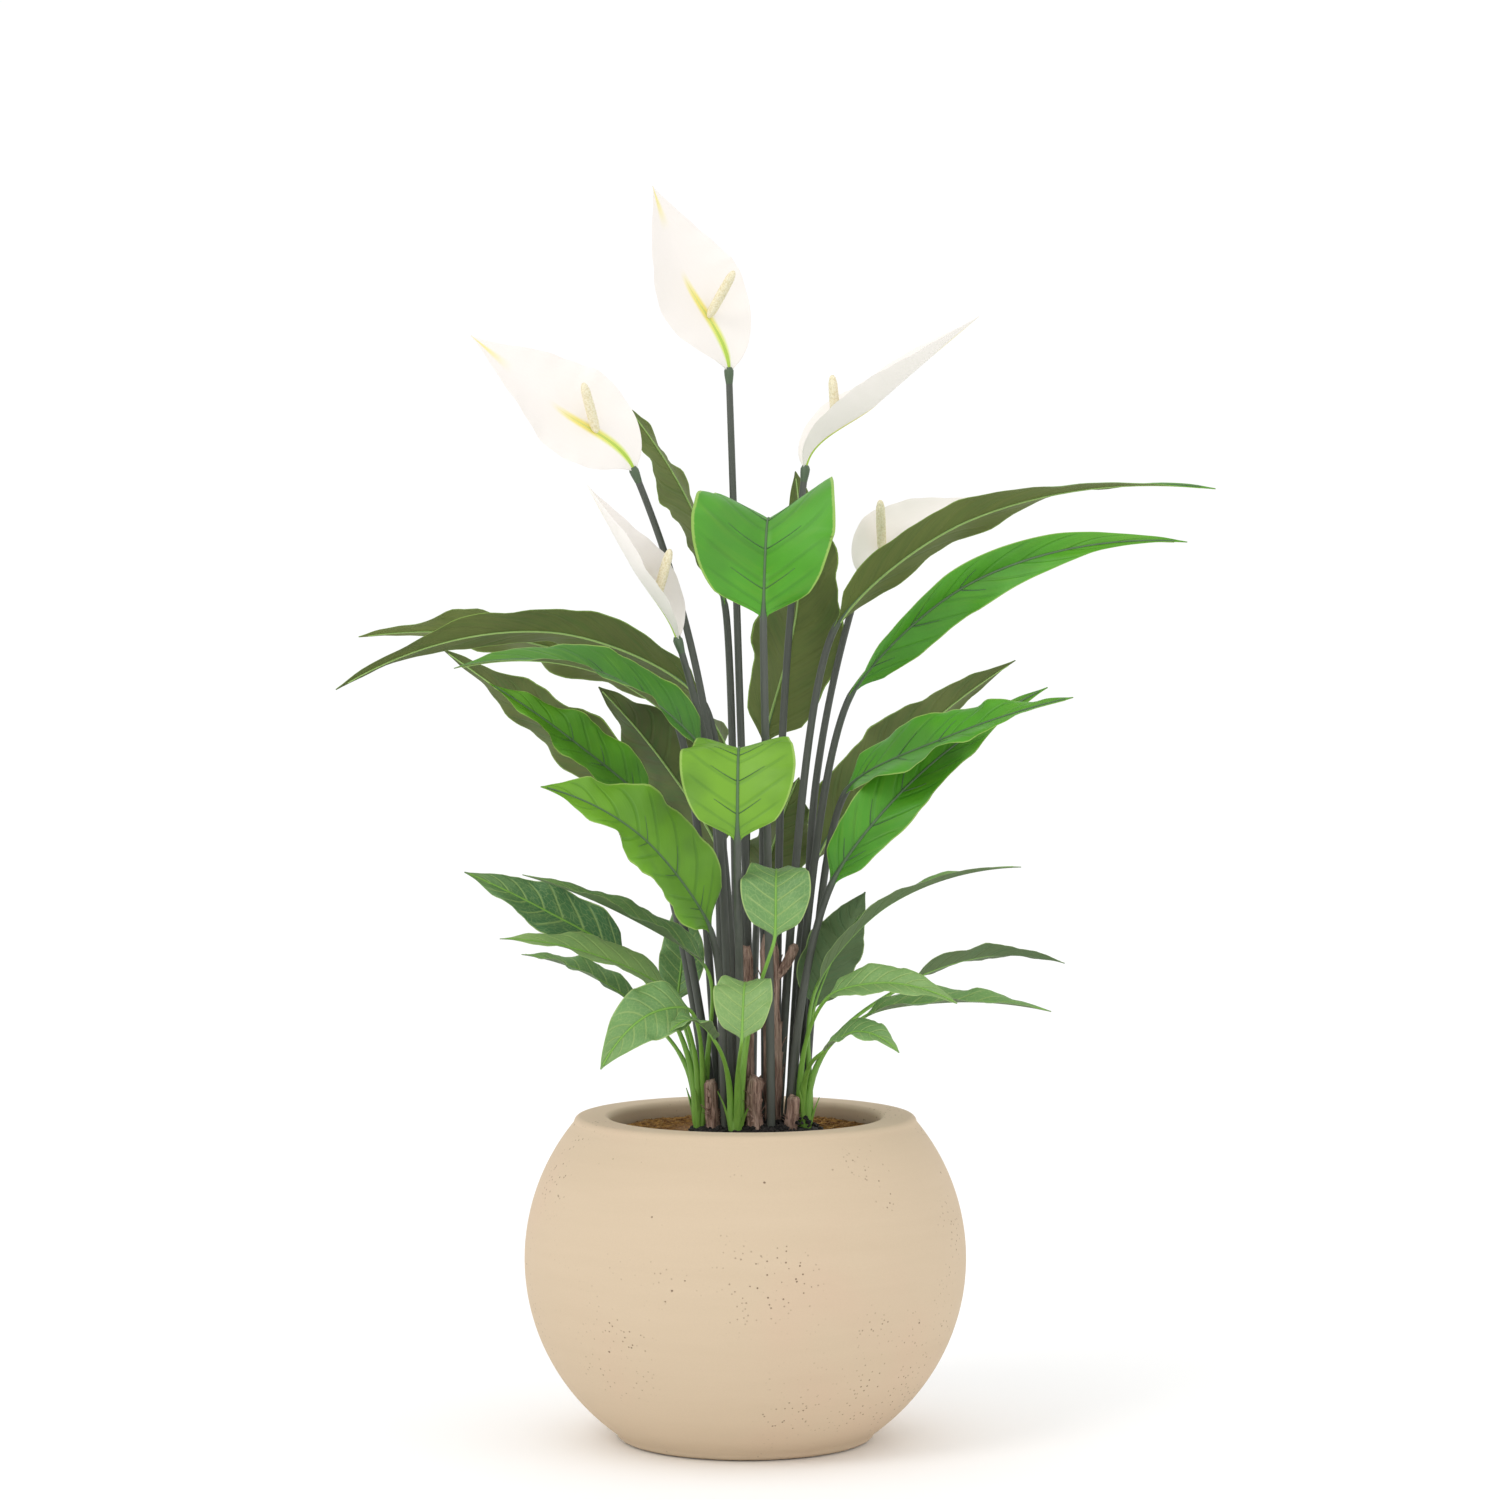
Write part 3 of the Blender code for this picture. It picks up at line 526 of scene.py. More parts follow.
ICO = [(0, 0, 1)] + [(math.cos(a * 1.2566) * 0.894, math.sin(a * 1.2566) * 0.894, 0.447)
                     for a in range(5)]
ICO += [(math.cos(a * 1.2566 + 0.6283) * 0.894, math.sin(a * 1.2566 + 0.6283) * 0.894, -0.447)
        for a in range(5)] + [(0, 0, -1)]
ICO_FACES = [(0, 1 + a, 1 + (a + 1) % 5) for a in range(5)]
ICO_FACES += [(1 + a, 6 + a, 1 + (a + 1) % 5) for a in range(5)]
ICO_FACES += [(6 + a, 6 + (a + 1) % 5, 1 + (a + 1) % 5) for a in range(5)]
ICO_FACES += [(11, 6 + (a + 1) % 5, 6 + a) for a in range(5)]


def crown_height(x, y):
    reach = (Vector((x, y)) - PLUG_CENTRE).length / NECK_RADIUS
    heap = 0.010 * math.exp(-((x - 0.052) ** 2 + (y + 0.025) ** 2) / 0.00022)
    return DISC_TOP + (MOUND_TOP - DISC_TOP) * (1 - reach**3) + heap


draw = random.Random(3)
crumbs = Piece("plug_crumbs", None, "plug_black")
for index in range(620):
    reach = math.sqrt(draw.uniform(0.0, 1.0)) * (NECK_RADIUS - 0.001)
    turn = draw.uniform(0, 2 * math.pi)
    x = PLUG_CENTRE.x + reach * math.cos(turn)
    y = PLUG_CENTRE.y + reach * math.sin(turn)
    size = draw.uniform(0.0012, 0.0034)
    middle = Vector((x, y, crown_height(x, y) + size * 0.3))
    shape = [Vector(p) * size * draw.uniform(0.7, 1.25) for p in ICO]
    crumbs.add([middle + Vector((p.x, p.y, p.z * 0.8)) for p in shape], ICO_FACES)
crumbs.make([soil.material], smooth=35)
print("crumbs:", len(crumbs.faces) // 20)

# %% [markdown]
# ## The layout
# Eighteen large leaves, fifteen small ones in three sprigs, five flowers and five canes. Each leaf is
# a row: where its stem stands, the collar, the middle and the tip of its midrib, half its width, how
# far it folds along the midrib, and how far its upper side turns to the front along the way. The
# numbers are the ones the solid pieces were lofted from, so the visible leaves lie in the same place.

# %% Stems, leaves and flowers
# Canes: name, foot (x, y), radius, then the points of the axis above the plug.
CANES = (
    ("cane_tall", (0.001, -0.010), 0.0060, ((0.001, -0.010, 0.094), (0.000, -0.010, 0.169))),
    ("cane_forked", (0.025, -0.010), 0.0075, ((0.024, -0.011, 0.094), (0.021, -0.012, 0.179))),
    ("cane_front", (0.008, -0.036), 0.0072, ((0.007, -0.036, 0.024), (0.009, -0.035, 0.054))),
    ("cane_left", (-0.029, -0.021), 0.0058, ((-0.030, -0.021, 0.024), (-0.031, -0.020, 0.049))),
    ("cane_right", (0.041, -0.031), 0.0055, ((0.042, -0.031, 0.019), (0.043, -0.032, 0.036))),
)

# Sheaths: name and foot.
SHEATHS = {
    "sheath_left": (-0.041, -0.002),
    "sheath_centre": (-0.009, -0.039),
    "sheath_right": (0.053, -0.015),
}

# Large leaves.
LARGE_LEAVES = (
    ("leaf_a", (-0.006, 0.026), (-0.019, 0.070, 0.476), (-0.055, 0.075, 0.574),
     (-0.115, 0.060, 0.664), 0.050, 14, (-180, -160, -150)),
    ("leaf_b", (0.018, 0.034), (0.018, 0.085, 0.348), (0.048, 0.080, 0.474),
     (0.046, 0.115, 0.599), 0.055, 12, (180, 180, 180)),
    ("leaf_c", (0.023, -0.034), (0.016, -0.070, 0.466), (0.020, -0.045, 0.552),
     (0.024, 0.010, 0.514), 0.074, 30, (0, 0, 0)),
    ("leaf_d", (0.030, 0.009), (0.081, 0.000, 0.456), (0.200, -0.015, 0.552),
     (0.420, -0.030, 0.580), 0.030, 14, (-25, -32, 30)),
    ("leaf_e", (0.041, 0.009), (0.095, 0.015, 0.394), (0.205, -0.030, 0.498),
     (0.390, -0.080, 0.532), 0.027, 32, (165, 110, 30)),
    ("leaf_f", (0.040, 0.024), (0.064, 0.055, 0.243), (0.140, 0.085, 0.339),
     (0.250, 0.110, 0.424), 0.045, 20, (-60, -50, -40)),
    ("leaf_g", (0.053, 0.006), (0.091, 0.012, 0.307), (0.180, -0.062, 0.359),
     (0.287, -0.118, 0.396), 0.037, 18, (46, 38, 25)),
    ("leaf_h", (0.038, -0.017), (0.077, -0.050, 0.228), (0.152, -0.022, 0.320),
     (0.272, -0.008, 0.402), 0.030, 16, (55, 50, 30)),
    ("leaf_i", (-0.017, 0.001), (-0.040, 0.004, 0.391), (-0.174, -0.011, 0.452),
     (-0.365, -0.046, 0.401), 0.034, 14, (-20, -34, -34)),
    ("leaf_j", (-0.024, 0.023), (-0.072, 0.060, 0.386), (-0.200, 0.075, 0.442),
     (-0.357, 0.095, 0.446), 0.046, 14, (-40, -35, -20)),
    ("leaf_k", (-0.012, -0.017), (-0.037, -0.058, 0.344), (-0.125, -0.095, 0.416),
     (-0.253, -0.145, 0.422), 0.036, 22, (50, 25, 10)),
    ("leaf_l", (-0.033, 0.017), (-0.096, 0.040, 0.296), (-0.176, 0.045, 0.362),
     (-0.277, 0.050, 0.436), 0.037, 16, (-60, -50, -40)),
    ("leaf_m", (-0.028, 0.004), (-0.088, -0.010, 0.294), (-0.155, -0.020, 0.354),
     (-0.229, -0.035, 0.406), 0.032, 20, (55, 45, 35)),
    ("leaf_n", (-0.020, 0.034), (-0.024, 0.095, 0.247), (-0.075, 0.115, 0.328),
     (-0.137, 0.130, 0.399), 0.052, 16, (-70, -65, -60)),
    ("leaf_o", (-0.018, -0.026), (-0.031, -0.075, 0.188), (-0.092, -0.115, 0.274),
     (-0.177, -0.165, 0.320), 0.053, 16, (65, 55, 40)),
    ("leaf_p", (-0.008, 0.042), (0.000, 0.130, 0.296), (-0.030, 0.150, 0.364),
     (-0.070, 0.165, 0.414), 0.048, 16, (180, 175, 170)),
    ("leaf_q", (-0.004, -0.026), (-0.007, -0.120, 0.271), (-0.006, -0.100, 0.348),
     (-0.004, -0.050, 0.329), 0.053, 14, (0, 0, 0)),
    ("leaf_r", (0.006, 0.045), (0.012, 0.110, 0.199), (0.030, 0.130, 0.264),
     (0.050, 0.150, 0.314), 0.046, 16, (180, 175, 170)),
)

# Small leaves: name, sheath, place of the petiole on it in degrees, then as above.
SMALL_LEAVES = (
    ("sprig_a", "sheath_left", 206, (-0.108, -0.035, 0.160), (-0.178, -0.055, 0.204),
     (-0.249, -0.075, 0.240), 0.030, 16, (60, 55, 45)),
    ("sprig_b", "sheath_left", 358, (-0.035, -0.065, 0.154), (-0.105, -0.090, 0.202),
     (-0.195, -0.125, 0.241), 0.027, 24, (30, 15, 10)),
    ("sprig_c", "sheath_left", 254, (-0.068, -0.060, 0.131), (-0.135, -0.100, 0.169),
     (-0.214, -0.140, 0.186), 0.025, 20, (40, 30, 20)),
    ("sprig_d", "sheath_left", 155, (-0.100, 0.020, 0.112), (-0.150, 0.035, 0.142),
     (-0.205, 0.050, 0.156), 0.020, 24, (15, 10, 10)),
    ("sprig_e", "sheath_left", 306, (-0.050, -0.085, 0.119), (-0.088, -0.120, 0.116),
     (-0.126, -0.150, 0.073), 0.028, 14, (50, 55, 60)),
    ("sprig_f", "sheath_centre", 290, (-0.003, -0.125, 0.097), (-0.001, -0.110, 0.140),
     (0.001, -0.080, 0.139), 0.028, 20, (0, 0, 0)),
    ("sprig_g", "sheath_centre", 215, (-0.028, -0.100, 0.094), (-0.046, -0.118, 0.112),
     (-0.066, -0.140, 0.104), 0.017, 20, (20, 10, 0)),
    ("sprig_h", "sheath_left", 108, (-0.062, 0.050, 0.114), (-0.058, 0.072, 0.159),
     (-0.062, 0.097, 0.209), 0.022, 16, (0, 0, 0)),
    ("sprig_i", "sheath_centre", 0, (0.026, -0.115, 0.186), (0.027, -0.098, 0.236),
     (0.028, -0.060, 0.239), 0.033, 18, (0, 0, 0)),
    ("sprig_j", "sheath_right", 0, (0.064, -0.030, 0.134), (0.128, -0.055, 0.209),
     (0.243, -0.098, 0.246), 0.022, 24, (20, 5, 0)),
    ("sprig_k", "sheath_right", 145, (0.062, -0.013, 0.114), (0.085, -0.012, 0.172),
     (0.108, -0.012, 0.218), 0.030, 16, (-70, -70, -70)),
    ("sprig_l", "sheath_right", 197, (0.074, -0.080, 0.130), (0.125, -0.105, 0.144),
     (0.185, -0.135, 0.129), 0.022, 20, (35, 35, 30)),
    ("sprig_m", "sheath_right", 50, (0.150, 0.010, 0.135), (0.220, 0.030, 0.156),
     (0.292, 0.050, 0.148), 0.018, 20, (-35, -30, -20)),
    ("sprig_n", "sheath_right", 305, (0.106, -0.035, 0.107), (0.185, -0.050, 0.122),
     (0.272, -0.065, 0.115), 0.022, 26, (15, 15, 10)),
    ("sprig_o", "sheath_right", 250, (0.070, -0.090, 0.083), (0.100, -0.115, 0.102),
     (0.134, -0.145, 0.087), 0.020, 20, (30, 25, 20)),
)

# Flowers: number, foot (x, y), bend of the stem, collar, middle and tip of the spathe, half width,
# fold, turns, and the axis of the spadix.
FLOWERS = (
    (1, (0.006, 0.014), (-0.006, 0.040, 0.414), (-0.015, 0.045, 0.685), (-0.056, 0.036, 0.774),
     (-0.084, 0.020, 0.854), 0.052, 14, (75, 70, 60), (0.022, -0.024, 0.038)),
    (2, (-0.020, -0.009), (-0.034, -0.008, 0.364), (-0.098, -0.040, 0.593), (-0.168, -0.065, 0.652),
     (-0.241, -0.095, 0.713), 0.052, 14, (70, 65, 55), (-0.010, -0.026, 0.040)),
    (3, (0.028, 0.022), (0.034, 0.032, 0.364), (0.054, 0.045, 0.596), (0.120, 0.055, 0.659),
     (0.213, 0.065, 0.739), 0.038, 42, (5, 0, 5), (-0.004, -0.010, 0.046)),
    (4, (-0.006, 0.004), (-0.022, -0.022, 0.274), (-0.059, -0.055, 0.442), (-0.100, -0.072, 0.510),
     (-0.139, -0.085, 0.582), 0.036, 38, (40, 35, 25), (0.012, -0.016, 0.042)),
    (5, (0.052, 0.018), (0.064, 0.034, 0.314), (0.105, 0.055, 0.499), (0.147, 0.068, 0.538),
     (0.212, 0.080, 0.575), 0.038, 34, (45, 35, 25), (-0.002, -0.014, 0.044)),
)
print(len(LARGE_LEAVES), "large leaves,", len(SMALL_LEAVES), "small,", len(FLOWERS), "flowers")

# %% [markdown]
# ## A leaf's surface
# A blade is a surface with two directions: along the midrib from collar to tip, and across it from
# margin to margin. The same width, fold and turn are used as for the solid leaf. Fine waves are
# added towards the margins, where pressed fabric relaxes, and each leaf gets its own, so that no
# two look stamped from one die.


# %% Blade surface
TIP_HALF_WIDTH = 0.0010
VEIN_SWEEP = 0.17  # how far forward a side vein has bent when it reaches the margin
SHEET_THICKNESS = 0.0009


def three_way(values, place):
    first, middle, last = values
    return (first * (1 - place) * (1 - 2 * place) + middle * 4 * place * (1 - place)
            + last * place * (2 * place - 1))


def blade_axes(heading, direction, turn):
    level_side = UPRIGHT.cross(heading)
    side = (level_side - direction * level_side.dot(direction)).normalized()
    normal = direction.cross(side)
    to_front = 1.0 if side.y >= 0 else -1.0
    angle = math.radians(turn) * to_front
    return (side * math.cos(angle) + normal * math.sin(angle),
            normal * math.cos(angle) - side * math.sin(angle))


def level_heading(start, end):
    return Vector((end[0] - start[0], end[1] - start[1], 0.0)).normalized()


class Blade:
    """Where a place along (0 to 1) and across (-1 to 1) a blade lies in space."""

    def __init__(self, stations, heading, shape, root, draw):
        self.stations = stations
        self.heading = heading
        self.half_width, self.fold, self.turns = shape
        self.root = root
        self.waves = (draw.uniform(3.5, 5.0), draw.uniform(6.5, 9.0))
        self.phases = [draw.uniform(0, 2 * math.pi) for _ in range(4)]
        self.curl = draw.uniform(0.02, 0.12)

    def frame(self, along):
        exact = along * (len(self.stations) - 1)
        low = min(int(exact), len(self.stations) - 2)
        share = exact - low
        point = self.stations[low][0].lerp(self.stations[low + 1][0], share)
        direction = self.stations[low][1].lerp(self.stations[low + 1][1], share).normalized()
        side, normal = blade_axes(self.heading, direction, three_way(self.turns, along))
        return point, direction, side, normal

    def section(self, along):
        """Half width, and how far the blade stands up from its midrib at a reach of 1."""
        swell = math.sin(math.pi * min(along, 0.9999)**0.74) ** 0.9
        wide = max(self.half_width * swell * (1 - 0.22 * along**3), TIP_HALF_WIDTH * 0.6)
        open_up = min(1.0, along / 0.12)
        width = self.root + (wide - self.root) * open_up
        return width, math.radians(self.fold) * open_up, 1.0

    def ripple(self, along, across):
        reach = abs(across)
        half = 0 if across > 0 else 1
        slow = 0.10 * math.sin(2 * math.pi * 3.3 * along) * reach**2 * (1 - 2 * half)
        fast = (0.045 * math.sin(2 * math.pi * self.waves[0] * along + self.phases[half])
                + 0.022 * math.sin(2 * math.pi * self.waves[1] * along + self.phases[2 + half])
                + 0.014 * math.sin(2 * math.pi * 13 * along + self.phases[1 - half]))
        curl = -self.curl * reach**4
        return self.half_width * (slow + fast * reach**2.2 + curl) * math.sin(math.pi * along)

    def at(self, along, across, above=0.0):
        point, direction, side, normal = self.frame(along)
        width, angle, cup = self.section(along)
        reach = abs(across)
        lift = reach**cup * width * math.sin(angle) + self.ripple(along, across)
        return point + side * (across * width * math.cos(angle)) + normal * (lift + above)


print("a blade can be asked for", [name for name in vars(Blade) if not name.startswith("_")])

# %% [markdown]
# ## Sheets, ribs and stems
# On the real leaf, printed cloth is welded round a plastic moulding: a stem that runs on as the
# midrib, with short side ribs. Here the cloth is a thin closed sheet, and each plastic part is a
# tapering rod laid on it. One mesh with relief could carry both, but separate rods keep the crisp
# step from cloth to plastic, and each takes its own finish.


# %% Parts of a leaf
def add_blade(piece, blade, steps, columns, thickness, tone, material=0):
    """A thin closed sheet with an upper and a lower face that meet at the margin."""
    rings, along_field, across_field, upper_field = [], [], [], []
    for row in range(steps + 1):
        along = row / steps
        taper = 1.0 - 0.35 * along
        ring = []
        for column in range(columns + 1):
            across = 1 - 2 * column / columns
            inside = 0.0 if abs(across) > 0.999 else 1.0
            ring.append(blade.at(along, across, inside * thickness * taper / 2))
            across_field.append(across)
            upper_field.append(0.5 + 0.5 * inside)
        for column in range(columns - 1, 0, -1):
            across = 1 - 2 * column / columns
            ring.append(blade.at(along, across, -thickness * taper / 2))
            across_field.append(across)
            upper_field.append(0.0)
        along_field += [along] * len(ring)
        rings.append(ring)
    piece.tube(rings, material, along=along_field, across=across_field, upper=upper_field,
               tone=[tone] * len(along_field))


def add_ribs(piece, blade, pairs, first, last, longest, radius, tone, material):
    """Raised side ribs: thin rods that leave the midrib and sweep forward towards the margin."""
    for index in range(pairs):
        start = first + (last - first) * index / (pairs - 1)
        for half in (-1, 1):
            rings, count = [], 9
            for step in range(count):
                reach = 0.02 + longest * step / (count - 1)
                along = start + VEIN_SWEEP * reach**1.2
                after = blade.at(along + 0.02, half * (reach + 0.02))
                here = blade.at(along, half * reach, 0.0003)
                direction = (after - here).normalized()
                normal = blade.frame(along)[3]
                side = direction.cross(normal).normalized()
                girth = radius * (1.0 - 0.6 * step / (count - 1))
                rings.append(ring_round(here, normal, -side, girth, 6))
            count_points = 6 * count
            piece.tube(rings, material, tone=[tone] * count_points,
                       along=[start] * count_points)


def add_stem(piece, stem, blade, foot_radius, rib_radii, tone, material):
    """The stem and, without a joint, the moulded midrib: one tapering rod."""
    rings, along_field = [], []
    sides = 12
    count = len(stem) - 1
    for number, (point, direction) in enumerate(stem):
        side, normal = blade_axes(blade.heading, direction, blade.turns[0])
        radius = foot_radius + (blade.root - foot_radius) * number / count
        rings.append(ring_round(point, side, normal, radius, sides))
        along_field += [-1.0 + number / count] * sides
    steps = 30
    for step in range(1, steps + 1):
        along = 0.97 * step / steps
        point, direction, side, normal = blade.frame(along)
        near = min(1.0, along / 0.18)
        radius = blade.root + (rib_radii[0] - blade.root) * (near * (2 - near))
        radius += (rib_radii[1] - rib_radii[0]) * along * near
        rings.append(ring_round(point + normal * 0.0006 * near, side, normal, radius, sides))
        along_field += [along] * sides
    piece.tube(rings, material, along=along_field, tone=[tone] * len(along_field))


def add_back_ridge(piece, blade, radius, material):
    """The thin light line down the underside of a leaf."""
    rings = []
    for step in range(31):
        along = 0.03 + 0.94 * step / 30
        point, direction, side, normal = blade.frame(along)
        girth = radius * (1.0 - 0.55 * along)
        rings.append(ring_round(point - normal * (0.0016 - 0.0011 * min(1.0, along / 0.2)),
                                side, normal, girth, 8))
    piece.tube(rings, material)


print("leaf parts ready for blades of", VEIN_SWEEP, "sweep")

# %% [markdown]
# ## Leaf finishes
# The fabric is printed: bright green on top with darker side veins and a thin light margin, dull
# olive underneath. The print follows the leaf, so it is worked out from the stored places along and
# across the blade, and not from the position in space. Phase counts the side veins: it is a whole
# number on each vein, and it bends forward with the reach from the midrib, as the veins do.

# %% Printed fabric
VEIN_PAIRS = 7
VEIN_FIRST, VEIN_LAST = 0.07, 0.73


def printed_leaf(name, colours, vein_strength, light_veins):
    """Upper face from bright to deep by tone, veins, margin, and the lower face."""
    bright, deep, fresh, vein, margin_colour, under, under_dark = colours
    finish = Finish(name)
    along, across = finish.stored("along"), finish.stored("across")
    upper = finish.ramp(finish.stored("upper"), 0.5, 0.53)
    tone = finish.stored("tone")
    where = finish.place()
    reach = abs(across)
    spacing = (VEIN_LAST - VEIN_FIRST) / (VEIN_PAIRS - 1)
    phase = (along - reach**1.2 * VEIN_SWEEP - VEIN_FIRST) / spacing
    nearness = 0.5 - abs(phase.fraction() - 0.5)
    vein_line = (1 - finish.ramp(nearness, 0.02, 0.13)) * (1 - finish.ramp(reach, 0.7, 0.98))
    stripes = finish.noise(finish.vector(phase * 3.5, across * 1.2, tone * 9), 1.0, 3.0)
    fine = finish.noise(finish.vector(phase * 16, across * 2.0, tone * 5), 1.0, 2.0)
    patches = finish.ramp(finish.noise(where, 22.0, 2.0), 0.35, 0.68)
    face = finish.mix(finish.ramp(tone, 0.0, 0.3), fresh, bright)
    face = finish.mix(finish.ramp(tone, 0.3, 1.0), face, deep)
    face = finish.mix(finish.ramp(stripes, 0.45, 0.75) * 0.25, face, fresh)
    face = finish.mix(patches * 0.3, face, deep)
    face = finish.mix(finish.ramp(along, 0.55, 1.0) * 0.3, face, fresh)
    face = finish.mix(vein_line * vein_strength, face, vein)
    if light_veins:
        web = finish.ramp(finish.cells(finish.vector(phase * 2.2, across * 4.5, tone), 1.6,
                                       "DISTANCE_TO_EDGE"), 0.0, 0.09)
        face = finish.mix((1 - web) * 0.35, face, vein)
    ragged = reach + fine * 0.03
    face = finish.mix(finish.ramp(ragged, 0.965, 0.985) * 0.85, face, margin_colour)
    back = finish.mix(tone, under, under_dark)
    back = finish.mix(finish.ramp(stripes, 0.40, 0.70) * (0.12 + tone * 0.4), back, deep)
    back = finish.mix(finish.ramp(fine, 0.4, 0.7) * (0.2 + tone * 0.3), back, under_dark)
    back = finish.mix(patches * 0.3, back, under)
    back = finish.mix(finish.ramp(ragged, 0.97, 0.99) * 0.6, back, margin_colour)
    weave = finish.noise(where, 900.0, 2.0)
    quilt = (phase * 2 * math.pi).wave()
    height = vein_line * -1.0 + quilt * 0.25 + stripes * 0.6 + weave * 0.10
    finish.wear(Base_Color=finish.mix(upper, back, face),
                Roughness=0.68 - upper * 0.22 + weave * 0.08,
                Normal=finish.bump(height, 0.5, 0.0008))
    return finish.material


large_fabric = printed_leaf(
    "large_leaf_fabric",
    ((0.070, 0.325, 0.008), (0.030, 0.115, 0.010), (0.165, 0.370, 0.014), (0.028, 0.140, 0.010),
     (0.30, 0.48, 0.09), (0.150, 0.195, 0.035), (0.060, 0.082, 0.016)), 0.25, False)
small_fabric = printed_leaf(
    "small_leaf_fabric_print",
    ((0.150, 0.310, 0.085), (0.050, 0.150, 0.055), (0.270, 0.420, 0.130), (0.34, 0.48, 0.16),
     (0.34, 0.48, 0.16), (0.13, 0.20, 0.07), (0.060, 0.11, 0.040)), 0.50, True)

stem_finish = Finish("coated_stem")
along = stem_finish.stored("along")
drawn = stem_finish.noise(stem_finish.stretched(stem_finish.place(), (300.0, 300.0, 12.0)), 1.0)
coated = stem_finish.mix(drawn, (0.050, 0.060, 0.050), (0.105, 0.112, 0.092))
moulded = stem_finish.mix(drawn, (0.060, 0.130, 0.050), (0.105, 0.190, 0.080))
green_share = stem_finish.ramp(along, -0.06, 0.16)
stem_finish.wear(Base_Color=stem_finish.mix(green_share, coated, moulded),
                 Roughness=0.42 + drawn * 0.2, Normal=stem_finish.bump(drawn, 0.25, 0.0006))

rib_finish = drifting("dark_rib", (0.040, 0.105, 0.035), (0.075, 0.150, 0.060),
                      (120.0, 120.0, 120.0), 2.0, 0.40, 0.15)
rib_pale = drifting("pale_rib", (0.25, 0.42, 0.10), (0.35, 0.52, 0.16),
                    (120.0, 120.0, 120.0), 2.0, 0.50, 0.15)
petiole_finish = drifting("light_green_plastic", (0.14, 0.34, 0.035), (0.25, 0.48, 0.085),
                          (200.0, 200.0, 30.0), 3.0, 0.38, 0.20, (0.3, 0.0008))
print("leaf finishes ready")

# %% [markdown]
# ## Large leaves
# Each large leaf is a stem that stands in the plug, a blade, a midrib moulded over the wire, three
# pairs of short raised side ribs and a thin light line down the back. They could share one blade
# bent by a curve, but then the turn of the blade could not follow each stem, so each is lofted
# along its own line. Tone runs from 0, fresh yellow-green, to 1, deep green.

# %% Build the large leaves
STEM_RADIUS = 0.0040
TONES = {"leaf_a": 0.3, "leaf_b": 0.5, "leaf_c": 0.3, "leaf_d": 0.35, "leaf_e": 0.3,
         "leaf_f": 0.6, "leaf_g": 0.3, "leaf_h": 0.35, "leaf_i": 0.65, "leaf_j": 0.1,
         "leaf_k": 0.7, "leaf_l": 0.8, "leaf_m": 0.2, "leaf_n": 1.0, "leaf_o": 0.1,
         "leaf_p": 0.7, "leaf_q": 0.03, "leaf_r": 0.7}
for name, foot, collar, middle, tip, half_width, fold, turns in LARGE_LEAVES:
    draw = random.Random(ord(name[-1]))
    knots = [Vector((foot[0], foot[1], SOCKET_FLOOR)), Vector((foot[0], foot[1], MOUND_TOP)),
             above_disc(collar), above_disc(middle), above_disc(tip)]
    stations = spine(knots, (2, 24, 30, 30), UPRIGHT, LEAF_SPRINGS)
    blade = Blade(stations[26:], level_heading(knots[2], knots[4]), (half_width, fold, turns),
                  STEM_RADIUS * 0.8, draw)
    leaf = Piece(f"{name}_fabric", name, "leaf_green", ("along", "across", "upper", "tone"))
    add_blade(leaf, blade, 56, 20,
              SHEET_THICKNESS, TONES[name])
    add_stem(leaf, stations[:27], blade, STEM_RADIUS, (0.0016, 0.0008), TONES[name], 1)
    add_back_ridge(leaf, blade, 0.0013, 3)
    add_ribs(leaf, blade, 3, VEIN_FIRST + draw.uniform(0.05, 0.09), draw.uniform(0.42, 0.52),
             draw.uniform(0.36, 0.50), 0.0008, TONES[name], 2)
    leaf.make([large_fabric, stem_finish.material, rib_finish.material, rib_pale.material])
print("large leaves:", len(LARGE_LEAVES), "of", len(leaf.points), "points each")

# %% [markdown]
# ## Small leaves
# The sprigs' leaves are paler, with a light web of veins printed on a dull cloth, and stand on thin
# light-green petioles that grow from the sheaths.

# %% Build the small leaves
PETIOLE_CIRCLE = 0.0050
SMALL_TONES = {"sprig_a": 0.85, "sprig_b": 0.45, "sprig_c": 0.1, "sprig_d": 0.5, "sprig_e": 0.3,
               "sprig_f": 0.15, "sprig_g": 0.5, "sprig_h": 0.6, "sprig_i": 0.35, "sprig_j": 0.3,
               "sprig_k": 0.7, "sprig_l": 0.2, "sprig_m": 0.5, "sprig_n": 0.35, "sprig_o": 0.3}


def petiole_foot(sheath, degrees):
    x, y = SHEATHS[sheath]
    angle = math.radians(degrees)
    return Vector((x + PETIOLE_CIRCLE * math.cos(angle), y + PETIOLE_CIRCLE * math.sin(angle),
                   SHEATH_TOP))


petiole_lines = {}
for name, sheath, degrees, collar, middle, tip, half_width, fold, turns in SMALL_LEAVES:
    draw = random.Random(100 + ord(name[-1]))
    knots = [petiole_foot(sheath, degrees), above_disc(collar), above_disc(middle),
             above_disc(tip)]
    stations = spine(knots, (20, 22, 22), UPRIGHT, LEAF_SPRINGS)
    petiole_lines.setdefault(sheath, []).append(stations[:21])
    blade = Blade(stations[20:], level_heading(knots[1], knots[3]), (half_width, fold, turns),
                  0.0016, draw)
    leaf = Piece(f"{name}_fabric", name, "small_leaf_fabric", ("along", "across", "upper", "tone"))
    add_blade(leaf, blade, 44, 16,
              SHEET_THICKNESS, SMALL_TONES[name])
    add_stem(leaf, stations[:21], blade, 0.0020, (0.0012, 0.0007), SMALL_TONES[name], 1)
    add_ribs(leaf, blade, VEIN_PAIRS, VEIN_FIRST, VEIN_LAST, 0.6, 0.00035, SMALL_TONES[name], 2)
    leaf.make([small_fabric, petiole_finish.material, rib_pale.material])
